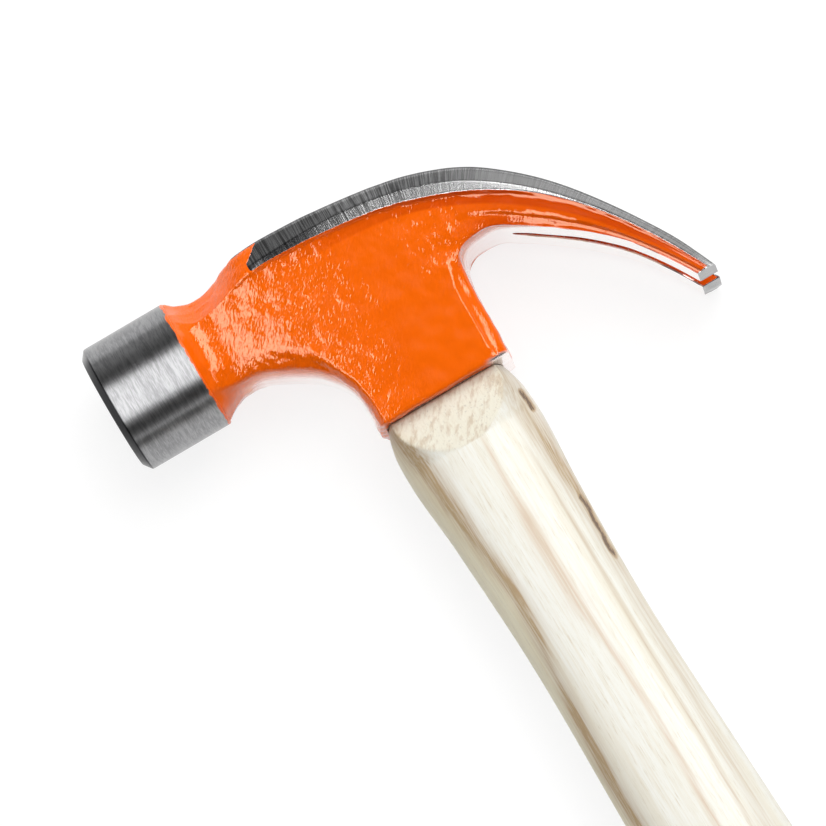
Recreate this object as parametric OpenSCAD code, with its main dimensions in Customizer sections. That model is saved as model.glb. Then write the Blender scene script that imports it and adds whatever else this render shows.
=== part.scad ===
// Curved claw hammer, lying on its side: a forged head with a drop eye, and a wedged wooden handle.
// X runs from the striking face to the claws, Y from the butt to the head's top, Z across the cheeks.

/* [Poll] */
// Diameter of the ground striking end
poll_d = 28.9; // [24:0.1:36]
// Length of the ground striking end
poll_len = 20.4; // [15:0.1:30]
// Axial depth of the chamfer round the striking face
face_chamfer_len = 1.4; // [0.4:0.1:3]
// Radial width of the chamfer round the striking face
face_chamfer_w = 1.8; // [0.4:0.1:4]
// Axial depth of the small break at the poll's rear edge
poll_rear_break = 0.5; // [0.2:0.1:1.5]

/* [Head body] */
// Length of the neck from the poll to the eye block
neck_len = 22.1; // [16:0.1:32]
// Width of the neck across its waist
neck_w = 21.8; // [17:0.1:25]
// Height of the neck's waist above the poll axis
neck_rise = 11; // [8:0.1:13]
// Depth of the neck's waist below the poll axis
neck_sink = 10.9; // [8:0.1:13]
// Length of the block that holds the eye
block_len = 32.9; // [30:0.1:42]
// Width across the cheeks
cheek_w = 26; // [24:0.1:32]
// How far the crown's ground rails stand out beyond the cheeks
rail_out = 1.1; // [0.3:0.1:2]
// Height of the crown above the poll axis
crown_rise = 14.5; // [12:0.1:18]
// Depth of the drop eye below the poll axis
eye_drop = 33.3; // [26:0.1:42]

/* [Claws] */
// Reach of the claws beyond the eye block
claw_reach = 48.3; // [38:0.1:60]
// Drop of the claw tips below the poll axis
claw_drop = 39.6; // [30:0.1:50]
// Width across the two claw tips
claw_tip_w = 31; // [27:0.1:36]
// Width of the nail slot at its round root
slot_root_w = 2.8; // [2:0.1:4]
// Width of the nail slot between the claw tips
slot_tip_w = 7.9; // [5:0.1:11]
// Lean of the slot's root through the claws, in degrees
slot_lean = 22; // [15:1:40]

/* [Eye] */
// Length of the eye at its mouth under the head
eye_len = 27.6; // [24:0.1:30]
// Width of the eye between its flat sides
eye_w = 19; // [15:0.1:21]
// How much shorter and narrower the eye is at its waist
eye_pinch = 0.9; // [0.3:0.1:2]
// Gap between the eye's wall and the tenon
tenon_clear = 0.08; // [0.03:0.01:0.3]
// How far the tenon's end stays below the crown
tenon_recess = 0.6; // [0.2:0.1:2]

/* [Wedges] */
// Depth of the saw kerf in the tenon
kerf_depth = 31; // [20:0.5:40]
// Thickness of the wooden wedge at the crown
wood_wedge_t = 3.4; // [2:0.1:5]
// Thickness of the wooden wedge at its thin end
wood_wedge_tip_t = 0.9; // [0.5:0.1:2]
// Depth of the wooden wedge
wood_wedge_depth = 29; // [18:0.5:38]
// Gap between each wedge and the wood beside it
wedge_clear = 0.05; // [0.02:0.01:0.2]
// Thickness of each steel wedge at the crown
steel_wedge_t = 2.3; // [1.5:0.1:3.5]
// Thickness of each steel wedge at its edge
steel_wedge_tip_t = 0.5; // [0.3:0.1:1]
// Width of each steel wedge across the tenon
steel_wedge_w = 12.5; // [8:0.1:14]
// Depth of each steel wedge
steel_wedge_depth = 16; // [10:0.5:22]
// Distance between the two steel wedges
steel_wedge_gap = 12; // [8:0.1:15]

/* [Handle] */
// Length of the whole hammer from the crown to the butt
overall_len = 330; // [280:1:420]
// Lean of the handle towards the claws, in degrees
handle_lean = 1.2; // [0:0.1:3]
// Length of the run-out from the tenon's flats to the full handle
shoulder_len = 9; // [6:0.1:18]
// Depth of the handle's shoulder, along the head
shoulder_d = 31.2; // [28:0.1:36]
// Thickness of the handle's shoulder, across the cheeks
shoulder_t = 20.4; // [19:0.1:27]
// Depth of the handle's waist
waist_d = 27.2; // [22:0.1:32]
// Thickness of the handle's waist
waist_t = 20.4; // [17:0.1:25]
// Depth of the grip at its fullest
grip_d = 31; // [27:0.1:38]
// Thickness of the grip at its fullest
grip_t = 24.2; // [20:0.1:30]
// Depth of the flared butt
butt_d = 34.4; // [29:0.1:42]
// Thickness of the flared butt
butt_t = 26.2; // [22:0.1:32]
// Rounding of the butt's end
butt_round = 3.4; // [1.5:0.1:6]

/* [Hidden] */
$fn = 72;

orange = [0.93, 0.33, 0.04];
pale_wood = [0.87, 0.77, 0.60];
wedge_wood = [0.74, 0.58, 0.38];
steel = [0.62, 0.63, 0.65];

// one overrun serves every cut
overrun = 2;

head_len = poll_len + neck_len + block_len + claw_reach;
block_x = poll_len + neck_len;
claw_x = block_x + block_len;
eye_x_share = 0.576;
eye_x = block_x + eye_x_share * block_len;

// The part stands on its lowest cheek side, centred under its box.
rest_half = max(poll_d, claw_tip_w, cheek_w, butt_t) / 2;
mid_x = head_len / 2;
mid_y = crown_rise - overall_len / 2;

// Section styles: round collar, eight-sided neck, start of the railed body, railed body, and claw tip.
// Columns: the top edge's share of the half width and of the ground band's depth, then the facets' crease
// as shares of the half width, of the rail's stand-out and of the depth, the rail's edge as shares of the
// half width and of the stand-out, the fillet under it as shares of the half width and of its own depth,
// and the underside's edge as a share of the half width.
style_shares = [
    [0.24, 0.03, 0.67, 0, 0.60, 0.83, 0, 0.935, 0.50, 0.80],
    [0.50, 0.02, 0.75, 0, 0.50, 0.985, 0, 0.995, 0.50, 0.84],
    [0.88, 0.10, 1, 0.73, 0.80, 1, 0.88, 1.012, 0.30, 0.86],
    [0.88, 0.10, 1, 0.80, 0.60, 1, 1, 1.015, 0.28, 0.86],
    [0.92, 0.08, 0.985, 0, 0.60, 1, 0, 0.985, 0.40, 0.96]
];
inner_under_share = 0.45;
under_round_share = 0.75;

// Photograph pixels that the outline follows, along the head and up from the poll's axis. Columns: zone,
// crest u and v, slant of the facets in degrees, depth of the ground band and of the fillet under it,
// lower cheek edge u and v, underside edge u and v, underside's middle u and v, the half width, where -1 is
// the poll's, 0 the neck's, 1 the cheeks' and 2 the claw tips', and the section style.
// The zones are 0 inside the poll, 1 the neck, 2 the block and 3 the claws.
rows_px = [
    [0, 84, 66.5, 0, 29.4, 53, 84, -13.3, 84, -38, 84, -66.5, -0.83, 0],
    [1, 90, 67.6, 0, 29.9, 54, 90, -13.5, 90, -40, 90, -67.6, -0.9, 0],
    [1, 94, 65.4, 0, 27.8, 48, 94, -14, 94, -40.5, 94, -65, -0.6, 0.1],
    [1, 99, 60.6, 0, 26.8, 40.4, 99, -17, 99, -42, 99, -61.6, -0.33, 0.4],
    [1, 105, 57, 0, 27.2, 34, 105, -21.5, 105, -44, 105, -58, -0.15, 0.75],
    [1, 113, 53.8, 0, 27, 28.6, 113, -25, 113, -45.5, 113, -54, -0.04, 1],
    [1, 121, 52.8, 0, 25, 26.2, 121, -26, 121, -46, 121, -52.4, 0, 1],
    [1, 129, 52.9, 0, 24, 25, 129, -27.3, 129, -46.5, 129, -52.4, 0.08, 1],
    [1, 137, 54.4, 0, 24.4, 25, 137, -29, 137, -47.5, 137, -53.8, 0.27, 1],
    [1, 146, 58.2, 0, 25.8, 26.8, 146, -31.5, 146, -49.5, 146, -57.2, 0.42, 1.05],
    [1, 155, 62.3, 0, 27.4, 32.2, 155, -34, 155, -53.5, 155, -62, 0.53, 1.3],
    [1, 165, 66, 0, 28.6, 37.6, 165, -38.5, 165, -58.8, 165, -67.4, 0.65, 1.6],
    [1, 176, 68.7, 0, 29.2, 41.4, 176, -45, 176, -65.6, 176, -74.2, 0.77, 1.85],
    [2, 196, 69.8, 0, 28.6, 42.4, 194, -62, 193.5, -78, 190, -84, 0.94, 2],
    [2, 212, 69.8, 0, 28.8, 43.4, 206, -82, 206, -93.7, 201, -96, 1, 2.1],
    [2, 226, 69.3, 0, 28.8, 44, 216, -101, 213.5, -111, 208.5, -108, 1, 2.25],
    [2, 238, 68.8, 0, 28.8, 44.4, 221.4, -119, 217, -125, 212, -122, 1, 2.4],
    [2, 248, 68.3, 0, 28.8, 44.6, 224, -138, 218.2, -141, 213, -141, 1, 2.5],
    [2, 254, 67.9, 0, 29, 44.8, 224.8, -153, 218.6, -154, 213.2, -154, 1, 2.6],
    [2, 258, 67.6, 0, 29.2, 44.8, 228.3, -159, 221.5, -160, 217.5, -160, 1, 2.65],
    [2, 272, 66.1, 0, 29.2, 44.4, 256, -159.4, 256, -160, 256, -160, 1, 2.8],
    [2, 290, 64.1, 0, 29.2, 43.2, 290, -159.4, 290, -160, 290, -160, 1, 3],
    [2, 308, 61.8, 0, 29.4, 42.6, 324, -159.4, 324, -160, 324, -160, 1, 3],
    [2, 322, 59.8, 2, 29.4, 42, 350, -159, 360, -160, 360, -160, 1, 3],
    [2, 326, 59.2, 4, 29.4, 42, 353, -153, 364.6, -154, 364.6, -154, 1, 3],
    [2, 331, 58.3, 6, 29.5, 41.8, 353.6, -130, 366, -129, 366, -129, 1, 3],
    [2, 337, 57.1, 8, 29.6, 41.6, 354.6, -101, 367, -95, 367, -95, 1, 3],
    [2, 345, 55.6, 10, 29.9, 41.8, 357.6, -77, 368.4, -70, 368.4, -70, 1, 3],
    [3, 354, 53.7, 12, 30.1, 41.9, 363.5, -61, 371.6, -54.5, 371.6, -54.5, 1, 3],
    [3, 367, 50.4, 15, 31, 42.2, 372, -50, 378, -45, 378, -45, 1.01, 3],
    [3, 387.5, 43.6, 21, 31.2, 42.8, 385.5, -43.2, 388.6, -40, 388.6, -40, 1.03, 3],
    [3, 411, 33.6, 27, 30.6, 42.8, 401, -40.5, 402, -39, 402, -39, 1.05, 3.05],
    [3, 433.4, 20.2, 33.5, 28.4, 41, 417, -43, 417, -42, 417, -42, 1.1, 3.15],
    [3, 457.8, 0.2, 40, 23.8, 37, 434, -53, 434, -52, 434, -52, 1.2, 3.3],
    [3, 481, -22.5, 46, 19.4, 33, 452, -65.5, 452, -64.5, 452, -64.5, 1.32, 3.45],
    [3, 502.3, -47.7, 52, 15.5, 28.6, 470, -78.5, 470, -77.5, 470, -77.5, 1.45, 3.6],
    [3, 523.6, -77.2, 57, 11.9, 24.4, 494, -97.5, 494, -96.5, 494, -96.5, 1.6, 3.75],
    [3, 545.8, -111.4, 62, 9.8, 20.6, 523, -126, 523, -125, 523, -125, 1.76, 3.9],
    [3, 567.5, -148.6, 70, 9.2, 16.2, 547.5, -160, 547.5, -159, 547.5, -159, 1.9, 4],
    [3, 586, -190, 90, 7, 11, 566, -190, 566, -190, 566, -190, 2, 4]
];

// Each zone of the outline is stretched onto its own named sizes, from these places in the table.
function zone_rows(z) = [for (r = rows_px) if (r[0] == z) r];
neck_from_px = zone_rows(1)[0][1];
collar_px = zone_rows(1)[0][2];
block_from_px = zone_rows(2)[0][1];
claw_from_px = zone_rows(3)[0][1];
last_row = rows_px[len(rows_px) - 1];
tip_px = last_row[1];
claw_drop_px = -last_row[2];
neck_rise_px = min([for (r = zone_rows(1)) r[2]]);
waist_row = [for (r = zone_rows(1)) if (r[2] == neck_rise_px) r][0];
neck_waist_px = waist_row[1];
neck_sink_px = -waist_row[11];
crown_px = max([for (r = zone_rows(2)) r[2]]);
drop_px = -min([for (r = zone_rows(2)) r[11]]);

// Where along the table the slot's root meets the underside
slot_root_share = 0.8385;
slot_root_row = along(rows_px, slot_root_share * (len(rows_px) - 1));
slot_root_px = [slot_root_row[10], slot_root_row[11]];

// How much of the poll's radius the collar behind it reaches
collar_share = 0.975;

// Steps of the smooth curve between two rows
row_steps = 2;

function lerp(a, b, s) = a + (b - a) * s;

// Catmull-Rom curve through a table's rows, for every column at once.
function along(rows, t) =
    let (i = min(floor(t), len(rows) - 2), f = t - i)
    let (a = rows[max(i - 1, 0)], b = rows[i], c = rows[i + 1], d = rows[min(i + 2, len(rows) - 1)])
    [for (k = [0:len(b) - 1])
        0.5 * (2 * b[k] + (c[k] - a[k]) * f + (2 * a[k] - 5 * b[k] + 4 * c[k] - d[k]) * f * f
        + (3 * b[k] - a[k] - 3 * c[k] + d[k]) * f * f * f)];

function sampled(rows, steps) =
    [for (j = [0:(len(rows) - 1) * steps]) along(rows, j / steps)];

// Pixel to millimetre, by zone
function px_x(u) =
    u < block_from_px ? poll_len + (u - neck_from_px) / (block_from_px - neck_from_px) * neck_len
    : u < claw_from_px ? block_x + (u - block_from_px) / (claw_from_px - block_from_px) * block_len
    : claw_x + (u - claw_from_px) / (tip_px - claw_from_px) * claw_reach;

// The collar's heights fade into the neck's, these into the block's, and these into the claws'.
function collar_mix(u) = min(1, max(0, (u - neck_from_px) / (neck_waist_px - neck_from_px)));
function neck_mix(u) = min(1, max(0, (u - neck_waist_px) / (block_from_px - neck_waist_px)));
function claw_mix(u) = min(1, max(0, (u - claw_from_px) / (slot_root_px[0] - claw_from_px)));

collar_scale = collar_share * poll_d / 2 / collar_px;
drop_scale = eye_drop / drop_px;

function rise_scale(u) =
    lerp(lerp(collar_scale, neck_rise / neck_rise_px, collar_mix(u)), crown_rise / crown_px, neck_mix(u));
function neck_sink_scale(u) =
    lerp(lerp(collar_scale, neck_sink / neck_sink_px, collar_mix(u)), drop_scale, neck_mix(u));
function sink_scale(u) =
    u < block_from_px ? neck_sink_scale(u) : lerp(drop_scale, claw_drop / claw_drop_px, claw_mix(u));

function px_y(u, v) = v * (v >= 0 ? rise_scale(u) : sink_scale(u));

function half_w(s) =
    s < 0 ? lerp(neck_w / 2, poll_d / 2, -s)
    : s <= 1 ? lerp(neck_w / 2, cheek_w / 2, s)
    : lerp(cheek_w / 2, claw_tip_w / 2, s - 1);

function style_at(s) =
    let (i = min(floor(s), len(style_shares) - 2), a = style_shares[i], b = style_shares[i + 1])
    [for (k = [0:len(a) - 1]) lerp(a[k], b[k], s - i)];

// Half a section, from the crest round the near side to the middle of the underside.
function half_section(r) =
    let (
        w = half_w(r[12]),
        n = [-sin(r[3]), -cos(r[3])],
        s = style_at(max(0, r[13])),
        top = r[4] * s[1],
        crease = r[4] * s[4],
        rail = r[4],
        fillet = lerp(r[4], r[5], s[8])
    )
    [
        for (q = [
            [0, r[1], r[2]],
            [s[0] * w, r[1] + n[0] * top, r[2] + n[1] * top],
            [s[2] * w + s[3] * rail_out, r[1] + n[0] * crease, r[2] + n[1] * crease],
            [s[5] * w + s[6] * rail_out, r[1] + n[0] * rail, r[2] + n[1] * rail],
            [s[7] * w, r[1] + n[0] * fillet, r[2] + n[1] * fillet],
            [w, r[1] + n[0] * r[5], r[2] + n[1] * r[5]],
            [w, r[6], r[7]],
            [s[9] * w, r[8], r[9]],
            [inner_under_share * w, lerp(r[8], r[10], under_round_share), lerp(r[9], r[11], under_round_share)],
            [0, r[10], r[11]]
        ])
        [px_x(q[1]), px_y(q[1], q[2]), q[0]]
    ];

function mirrored(h) = [for (i = [len(h) - 1:-1:0]) if (h[i][2] > 0) [h[i][0], h[i][1], -h[i][2]]];
function ring(h) = concat(h, mirrored(h));

// A closed skin over rings of as many points each, with a middle point in each end.
module skin(rings) {
    n = len(rings[0]);
    m = len(rings);
    pts = [for (r = rings) for (p = r) p];
    mid_a = ring_mid(rings[0]);
    mid_b = ring_mid(rings[m - 1]);
    sides = [
        for (j = [0:m - 2])
            for (i = [0:n - 1])
                let (a = j * n + i, b = j * n + (i + 1) % n, c = a + n, d = b + n)
                each [[a, c, b], [b, c, d]]
    ];
    end_a = [for (i = [0:n - 1]) [m * n, i, (i + 1) % n]];
    end_b = [for (i = [0:n - 1]) [m * n + 1, (m - 1) * n + (i + 1) % n, (m - 1) * n + i]];
    polyhedron(points = concat(pts, [mid_a, mid_b]), faces = concat(sides, end_a, end_b), convexity = 8);
}

function ring_mid(r) =
    [for (k = [0:2]) (min([for (p = r) p[k]]) + max([for (p = r) p[k]])) / 2];

module forging() {
    skin([for (r = sampled(rows_px, row_steps)) ring(half_section(r))]);
}

module poll() {
    r = poll_d / 2;
    rotate([0, 90, 0])
        rotate_extrude()
            polygon([
                [0, 0],
                [r - face_chamfer_w, 0],
                [r, face_chamfer_len],
                [r, poll_len - poll_rear_break],
                [r - poll_rear_break, poll_len],
                [0, poll_len]
            ]);
}

// An oval with flat sides: a along X, b half its full thickness, and the flats at z.
oval_point_count = 40;
oval_end_share = 0.92;
oval_side_share = 0.86;
function oval(a, b, z, y, x) =
    [
        for (t = [0:360 / oval_point_count:360 - 180 / oval_point_count])
            let (
                c = cos(t),
                s = sin(t),
                px = a * sign(c) * pow(abs(c), oval_end_share),
                pz = b * sign(s) * pow(abs(s), oval_side_share)
            )
            [x + px, y, max(-z, min(z, pz))]
    ];

// The eye is pinched at its waist, and opens towards the crown so that the wedges can spread the tenon.
eye_round_share = 2;
eye_ring_count = 6;
function eye_pinch_at(s) = eye_pinch * sin(180 * min(1, max(0, s)));
function eye_y(s) = lerp(-eye_drop, crown_rise, s);
function eye_half_l(s) = (eye_len - eye_pinch_at(s)) / 2;
function eye_half_w(s) = (eye_w - eye_pinch_at(s)) / 2;

function eye_ring(s, less) =
    oval(eye_half_l(s) - less, eye_round_share * (eye_half_w(s) - less), eye_half_w(s) - less, eye_y(s), eye_x);

module eye_cut() {
    end = overrun / (eye_drop + crown_rise);
    skin([for (s = [1 + end, for (k = [eye_ring_count:-1:0]) k / eye_ring_count, -end]) eye_ring(s, 0)]);
}

module slot_cut() {
    root = [px_x(slot_root_px[0]), px_y(slot_root_px[0], slot_root_px[1])];
    tip = [head_len, -claw_drop];
    run = (tip[0] - root[0]) * cos(slot_lean) - (tip[1] - root[1]) * sin(slot_lean);
    reach = claw_reach;
    grow = (slot_tip_w - slot_root_w) / 2 / run;
    end_half = slot_root_w / 2 + grow * (run + overrun);
    translate([root[0], root[1], 0])
        rotate([0, 0, -slot_lean])
            rotate([90, 0, 0])
                translate([0, 0, -reach])
                    linear_extrude(2 * reach)
                        union() {
                            translate([slot_root_w / 2, 0])
                                circle(d = slot_root_w);
                            polygon([
                                [slot_root_w / 2, -slot_root_w / 2],
                                [run + overrun, -end_half],
                                [run + overrun, end_half],
                                [slot_root_w / 2, slot_root_w / 2]
                            ]);
                        }
}

module hammer_head() {
    color(orange)
        difference() {
            union() {
                forging();
                poll();
            }
            eye_cut();
            slot_cut();
        }
}

// Columns: share of the handle's length below the eye, then depth and thickness.
function handle_stations_shares(run) = [
    [0, eye_len - 2 * tenon_clear, (eye_w - 2 * tenon_clear) * eye_round_share],
    [0.4 * shoulder_len / run, lerp(eye_len, shoulder_d, 0.62), lerp(eye_w * eye_round_share, shoulder_t, 0.62)],
    [1.0 * shoulder_len / run, shoulder_d, shoulder_t],
    [0.10, lerp(shoulder_d, waist_d, 0.52), lerp(shoulder_t, waist_t, 0.5)],
    [0.21, waist_d, waist_t],
    [0.33, lerp(waist_d, grip_d, 0.38), lerp(waist_t, grip_t, 0.4)],
    [0.52, grip_d, grip_t],
    [0.70, lerp(grip_d, waist_d, 0.18), lerp(grip_t, waist_t, 0.2)],
    [0.87, lerp(grip_d, butt_d, 0.55), lerp(grip_t, butt_t, 0.5)],
    [0.95, butt_d, butt_t],
    [1 - butt_round / run, butt_d * butt_taper_share, butt_t * butt_taper_share]
];

handle_run = overall_len - crown_rise - eye_drop;
handle_steps = 3;
butt_taper_share = 0.985;
butt_steps = 4;

// The tenon's flats run on below the eye, and the full oval grows out through them.
function flat_at(d) =
    eye_w / 2 - tenon_clear + max(0, d) * tan(flat_slope) + max(0, d - shoulder_len) * tan(release_slope);
flat_slope = 2.5;
release_slope = 12;

function handle_ring(row) =
    let (d = row[0] * handle_run)
    oval(row[1] / 2, row[2] / 2, flat_at(d), -eye_drop - d, eye_x + d * tan(handle_lean));

function butt_rings() =
    [
        for (k = [1:butt_steps])
            let (
                a = 90 * k / butt_steps,
                d = handle_run - butt_round + butt_round * sin(a),
                inset = butt_round * (1 - cos(a))
            )
            oval(
                butt_d * butt_taper_share / 2 - inset,
                butt_t * butt_taper_share / 2 - inset,
                butt_t,
                -eye_drop - d,
                eye_x + d * tan(handle_lean)
            )
    ];

module handle_blank() {
    tenon = [for (k = [eye_ring_count:-1:1]) eye_ring(k / eye_ring_count, tenon_clear)];
    stations = sampled(handle_stations_shares(handle_run), handle_steps);
    skin(concat(tenon, [for (r = stations) handle_ring(r)], butt_rings()));
}

// All that lies under the crest over the eye, lowered by the recess.
module under_crown() {
    crest = [for (r = zone_rows(2)) [px_x(r[1]), px_y(r[1], r[2]) - tenon_recess]];
    last = crest[len(crest) - 1];
    linear_extrude(2 * (rest_half + overrun), center = true)
        polygon(concat(
            [[0, crest[0][1]]],
            crest,
            [[head_len, last[1]], [head_len, -overall_len], [0, -overall_len]]
        ));
}

// A wedge that points down, t thick at the top level and tip_t at its edge.
module wedge_profile(t, tip_t, depth, top) {
    grow = (t - tip_t) / depth * (top + overrun) / 2;
    polygon([
        [-tip_t / 2, -depth],
        [tip_t / 2, -depth],
        [t / 2 + grow, top + overrun],
        [-t / 2 - grow, top + overrun]
    ]);
}

module kerf_body(more, depth_more) {
    translate([eye_x, crown_rise, 0])
        rotate([0, 90, 0])
            linear_extrude(eye_len + 2 * overrun, center = true)
                wedge_profile(
                    wood_wedge_t + 2 * more,
                    wood_wedge_tip_t + 2 * more,
                    wood_wedge_depth + depth_more,
                    overrun
                );
}

module steel_wedge_body(side, more, depth_more) {
    translate([eye_x + side * steel_wedge_gap / 2, crown_rise, 0])
        linear_extrude(steel_wedge_w + 2 * more, center = true)
            wedge_profile(
                steel_wedge_t + 2 * more,
                steel_wedge_tip_t + 2 * more,
                steel_wedge_depth + depth_more,
                overrun
            );
}

module steel_slots() {
    steel_wedge_body(-1, wedge_clear, wedge_clear);
    steel_wedge_body(1, wedge_clear, wedge_clear);
}

module handle() {
    color(pale_wood)
        difference() {
            intersection() {
                handle_blank();
                under_crown();
            }
            kerf_body(wedge_clear, kerf_depth - wood_wedge_depth);
            steel_slots();
        }
}

module placed() {
    translate([-mid_x, -mid_y, rest_half])
        children();
}

module tenon_zone() {
    intersection() {
        handle_blank();
        under_crown();
    }
}

module wooden_wedge() {
    color(wedge_wood)
        difference() {
            intersection() {
                kerf_body(0, 0);
                tenon_zone();
            }
            steel_slots();
        }
}

module steel_wedge(side) {
    color(steel)
        intersection() {
            steel_wedge_body(side, 0, 0);
            under_crown();
        }
}

module steel_wedge_rear() {
    steel_wedge(-1);
}

module steel_wedge_front() {
    steel_wedge(1);
}

placed() hammer_head();
placed() handle();
placed() wooden_wedge();
placed() steel_wedge_rear();
placed() steel_wedge_front();
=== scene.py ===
"""Curved-claw hammer with a painted forged head and a wedged wooden handle, lying on a white table."""

import math

import bmesh
import bpy
import numpy as np
from mathutils import Matrix, Vector, kdtree, noise


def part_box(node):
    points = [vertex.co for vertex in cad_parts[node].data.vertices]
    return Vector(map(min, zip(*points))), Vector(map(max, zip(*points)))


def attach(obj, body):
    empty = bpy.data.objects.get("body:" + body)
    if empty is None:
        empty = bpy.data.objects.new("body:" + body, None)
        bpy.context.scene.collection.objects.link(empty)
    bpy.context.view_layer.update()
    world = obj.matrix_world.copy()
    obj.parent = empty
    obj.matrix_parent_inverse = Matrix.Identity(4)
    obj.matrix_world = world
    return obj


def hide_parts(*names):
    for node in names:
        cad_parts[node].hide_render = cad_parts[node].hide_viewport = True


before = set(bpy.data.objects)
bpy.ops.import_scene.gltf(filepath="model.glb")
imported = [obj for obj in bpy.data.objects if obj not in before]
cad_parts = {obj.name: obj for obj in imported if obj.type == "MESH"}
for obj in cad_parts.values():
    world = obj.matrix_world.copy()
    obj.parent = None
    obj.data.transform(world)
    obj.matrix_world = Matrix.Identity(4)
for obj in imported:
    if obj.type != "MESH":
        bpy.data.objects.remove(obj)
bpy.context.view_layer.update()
head_lo, head_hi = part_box("hammer_head")
handle_lo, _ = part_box("handle")

MM = 0.001

# The photograph's pixels, turned so that u runs along the head and v up through the eye.
FACE_U = -8.0
TIP_U = 586.0
CROWN_V = 69.8
POLL_R_PX = 69.3
POLL_REAR_U = 90.0
PX = (head_hi[0] - head_lo[0]) / (TIP_U - FACE_U)
PX_PER_MM = MM / PX
AXIS_Y = head_hi[1] - CROWN_V * PX
AXIS_Z = (head_lo[2] + head_hi[2]) / 2


def at(u, v, w=0.0):
    """The place of a pixel (u, v) of the turned photograph, w pixels above the middle plane."""
    return (head_lo[0] + (u - FACE_U) * PX, AXIS_Y + v * PX, AXIS_Z + w * PX)


# Crest u and v, slant of the facets in degrees, depth of the ground rail and of the fillet under it,
# lower cheek edge u and v, underside edge u and v, underside's middle u and v, half width, section style.
HEAD_ROWS = np.array([
    (84, 66.5, 0, 29.4, 53, 84, -13.3, 84, -38, 84, -66.5, 66.5, 0),
    (90, 67.6, 0, 29.9, 54, 90, -13.5, 90, -40, 90, -67.6, 67.6, 0),
    (94, 65.4, 0, 27.8, 48, 94, -14, 94, -40.5, 94, -65, 62.6, 0.1),
    (99, 60.6, 0, 26.8, 40.4, 99, -17, 99, -42, 99, -61.6, 58, 0.4),
    (105, 57, 0, 27.2, 34, 105, -21.5, 105, -44, 105, -58, 55, 0.75),
    (113, 53.8, 0, 27, 28.6, 113, -25, 113, -45.5, 113, -54, 53, 1),
    (121, 52.8, 0, 25, 26.2, 121, -26, 121, -46, 121, -52.4, 52.4, 1),
    (129, 52.9, 0, 24, 25, 129, -27.3, 129, -46.5, 129, -52.4, 53.2, 1),
    (137, 54.4, 0, 24.4, 25, 137, -29, 137, -47.5, 137, -53.8, 55.1, 1),
    (146, 58.2, 0, 25.8, 26.8, 146, -31.5, 146, -49.5, 146, -57.2, 56.6, 1.05),
    (155, 62.3, 0, 27.4, 32.2, 155, -34, 155, -53.5, 155, -62, 57.7, 1.3),
    (165, 66, 0, 28.6, 37.6, 165, -38.5, 165, -58.8, 165, -67.4, 58.9, 1.6),
    (176, 68.7, 0, 29.2, 41.4, 176, -45, 176, -65.6, 176, -74.2, 60.1, 1.85),
    (196, 69.8, 0, 28.6, 42.4, 194, -62, 193.5, -78, 190, -84, 61.8, 2),
    (212, 69.8, 0, 28.8, 43.4, 206, -82, 206, -93.7, 201, -96, 62.4, 2.1),
    (226, 69.3, 0, 28.8, 44, 216, -101, 213.5, -111, 208.5, -108, 62.4, 2.25),
    (238, 68.8, 0, 28.8, 44.4, 221.4, -119, 217, -125, 212, -122, 62.4, 2.4),
    (248, 68.3, 0, 28.8, 44.6, 224, -138, 218.2, -141, 213, -141, 62.4, 2.5),
    (254, 67.9, 0, 29, 44.8, 224.8, -153, 218.6, -154, 213.2, -154, 62.4, 2.6),
    (258, 67.6, 0, 29.2, 44.8, 228.3, -159, 221.5, -160, 217.5, -160, 62.4, 2.65),
    (272, 66.1, 0, 29.2, 44.4, 256, -159.4, 256, -160, 256, -160, 62.4, 2.8),
    (290, 64.1, 0, 29.2, 43.2, 290, -159.4, 290, -160, 290, -160, 62.4, 3),
    (308, 61.8, 0, 29.4, 42.6, 324, -159.4, 324, -160, 324, -160, 62.4, 3),
    (322, 59.8, 2, 29.4, 42, 350, -159, 360, -160, 360, -160, 62.4, 3),
    (326, 59.2, 4, 29.4, 42, 353, -153, 364.6, -154, 364.6, -154, 62.4, 3),
    (331, 58.3, 6, 29.5, 41.8, 353.6, -130, 366, -129, 366, -129, 62.4, 3),
    (337, 57.1, 8, 29.6, 41.6, 354.6, -101, 367, -95, 367, -95, 62.4, 3),
    (345, 55.6, 10, 29.9, 41.8, 357.6, -77, 368.4, -70, 368.4, -70, 62.4, 3),
    (354, 53.7, 12, 30.1, 41.9, 363.5, -61, 371.6, -54.5, 371.6, -54.5, 62.4, 3),
    (367, 50.4, 15, 31, 42.2, 372, -50, 378, -45, 378, -45, 62.5, 3),
    (387.5, 43.6, 21, 31.2, 42.8, 385.5, -43.2, 388.6, -40, 388.6, -40, 62.7, 3),
    (411, 33.6, 27, 30.6, 42.8, 401, -40.5, 402, -39, 402, -39, 63, 3.05),
    (433.4, 20.2, 33.5, 28.4, 41, 417, -43, 417, -42, 417, -42, 63.6, 3.15),
    (457.8, 0.2, 40, 23.8, 37, 434, -53, 434, -52, 434, -52, 64.8, 3.3),
    (481, -22.5, 46, 19.4, 33, 452, -65.5, 452, -64.5, 452, -64.5, 66.2, 3.45),
    (502.3, -47.7, 52, 15.5, 28.6, 470, -78.5, 470, -77.5, 470, -77.5, 67.8, 3.6),
    (523.6, -77.2, 57, 11.9, 24.4, 494, -97.5, 494, -96.5, 494, -96.5, 69.6, 3.75),
    (545.8, -111.4, 62, 9.8, 20.6, 523, -126, 523, -125, 523, -125, 71.5, 3.9),
    (567.5, -148.6, 70, 9.2, 16.2, 547.5, -160, 547.5, -159, 547.5, -159, 73.2, 4),
    (586, -190, 90, 7, 11, 566, -190, 566, -190, 566, -190, 74.4, 4),
])

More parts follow.
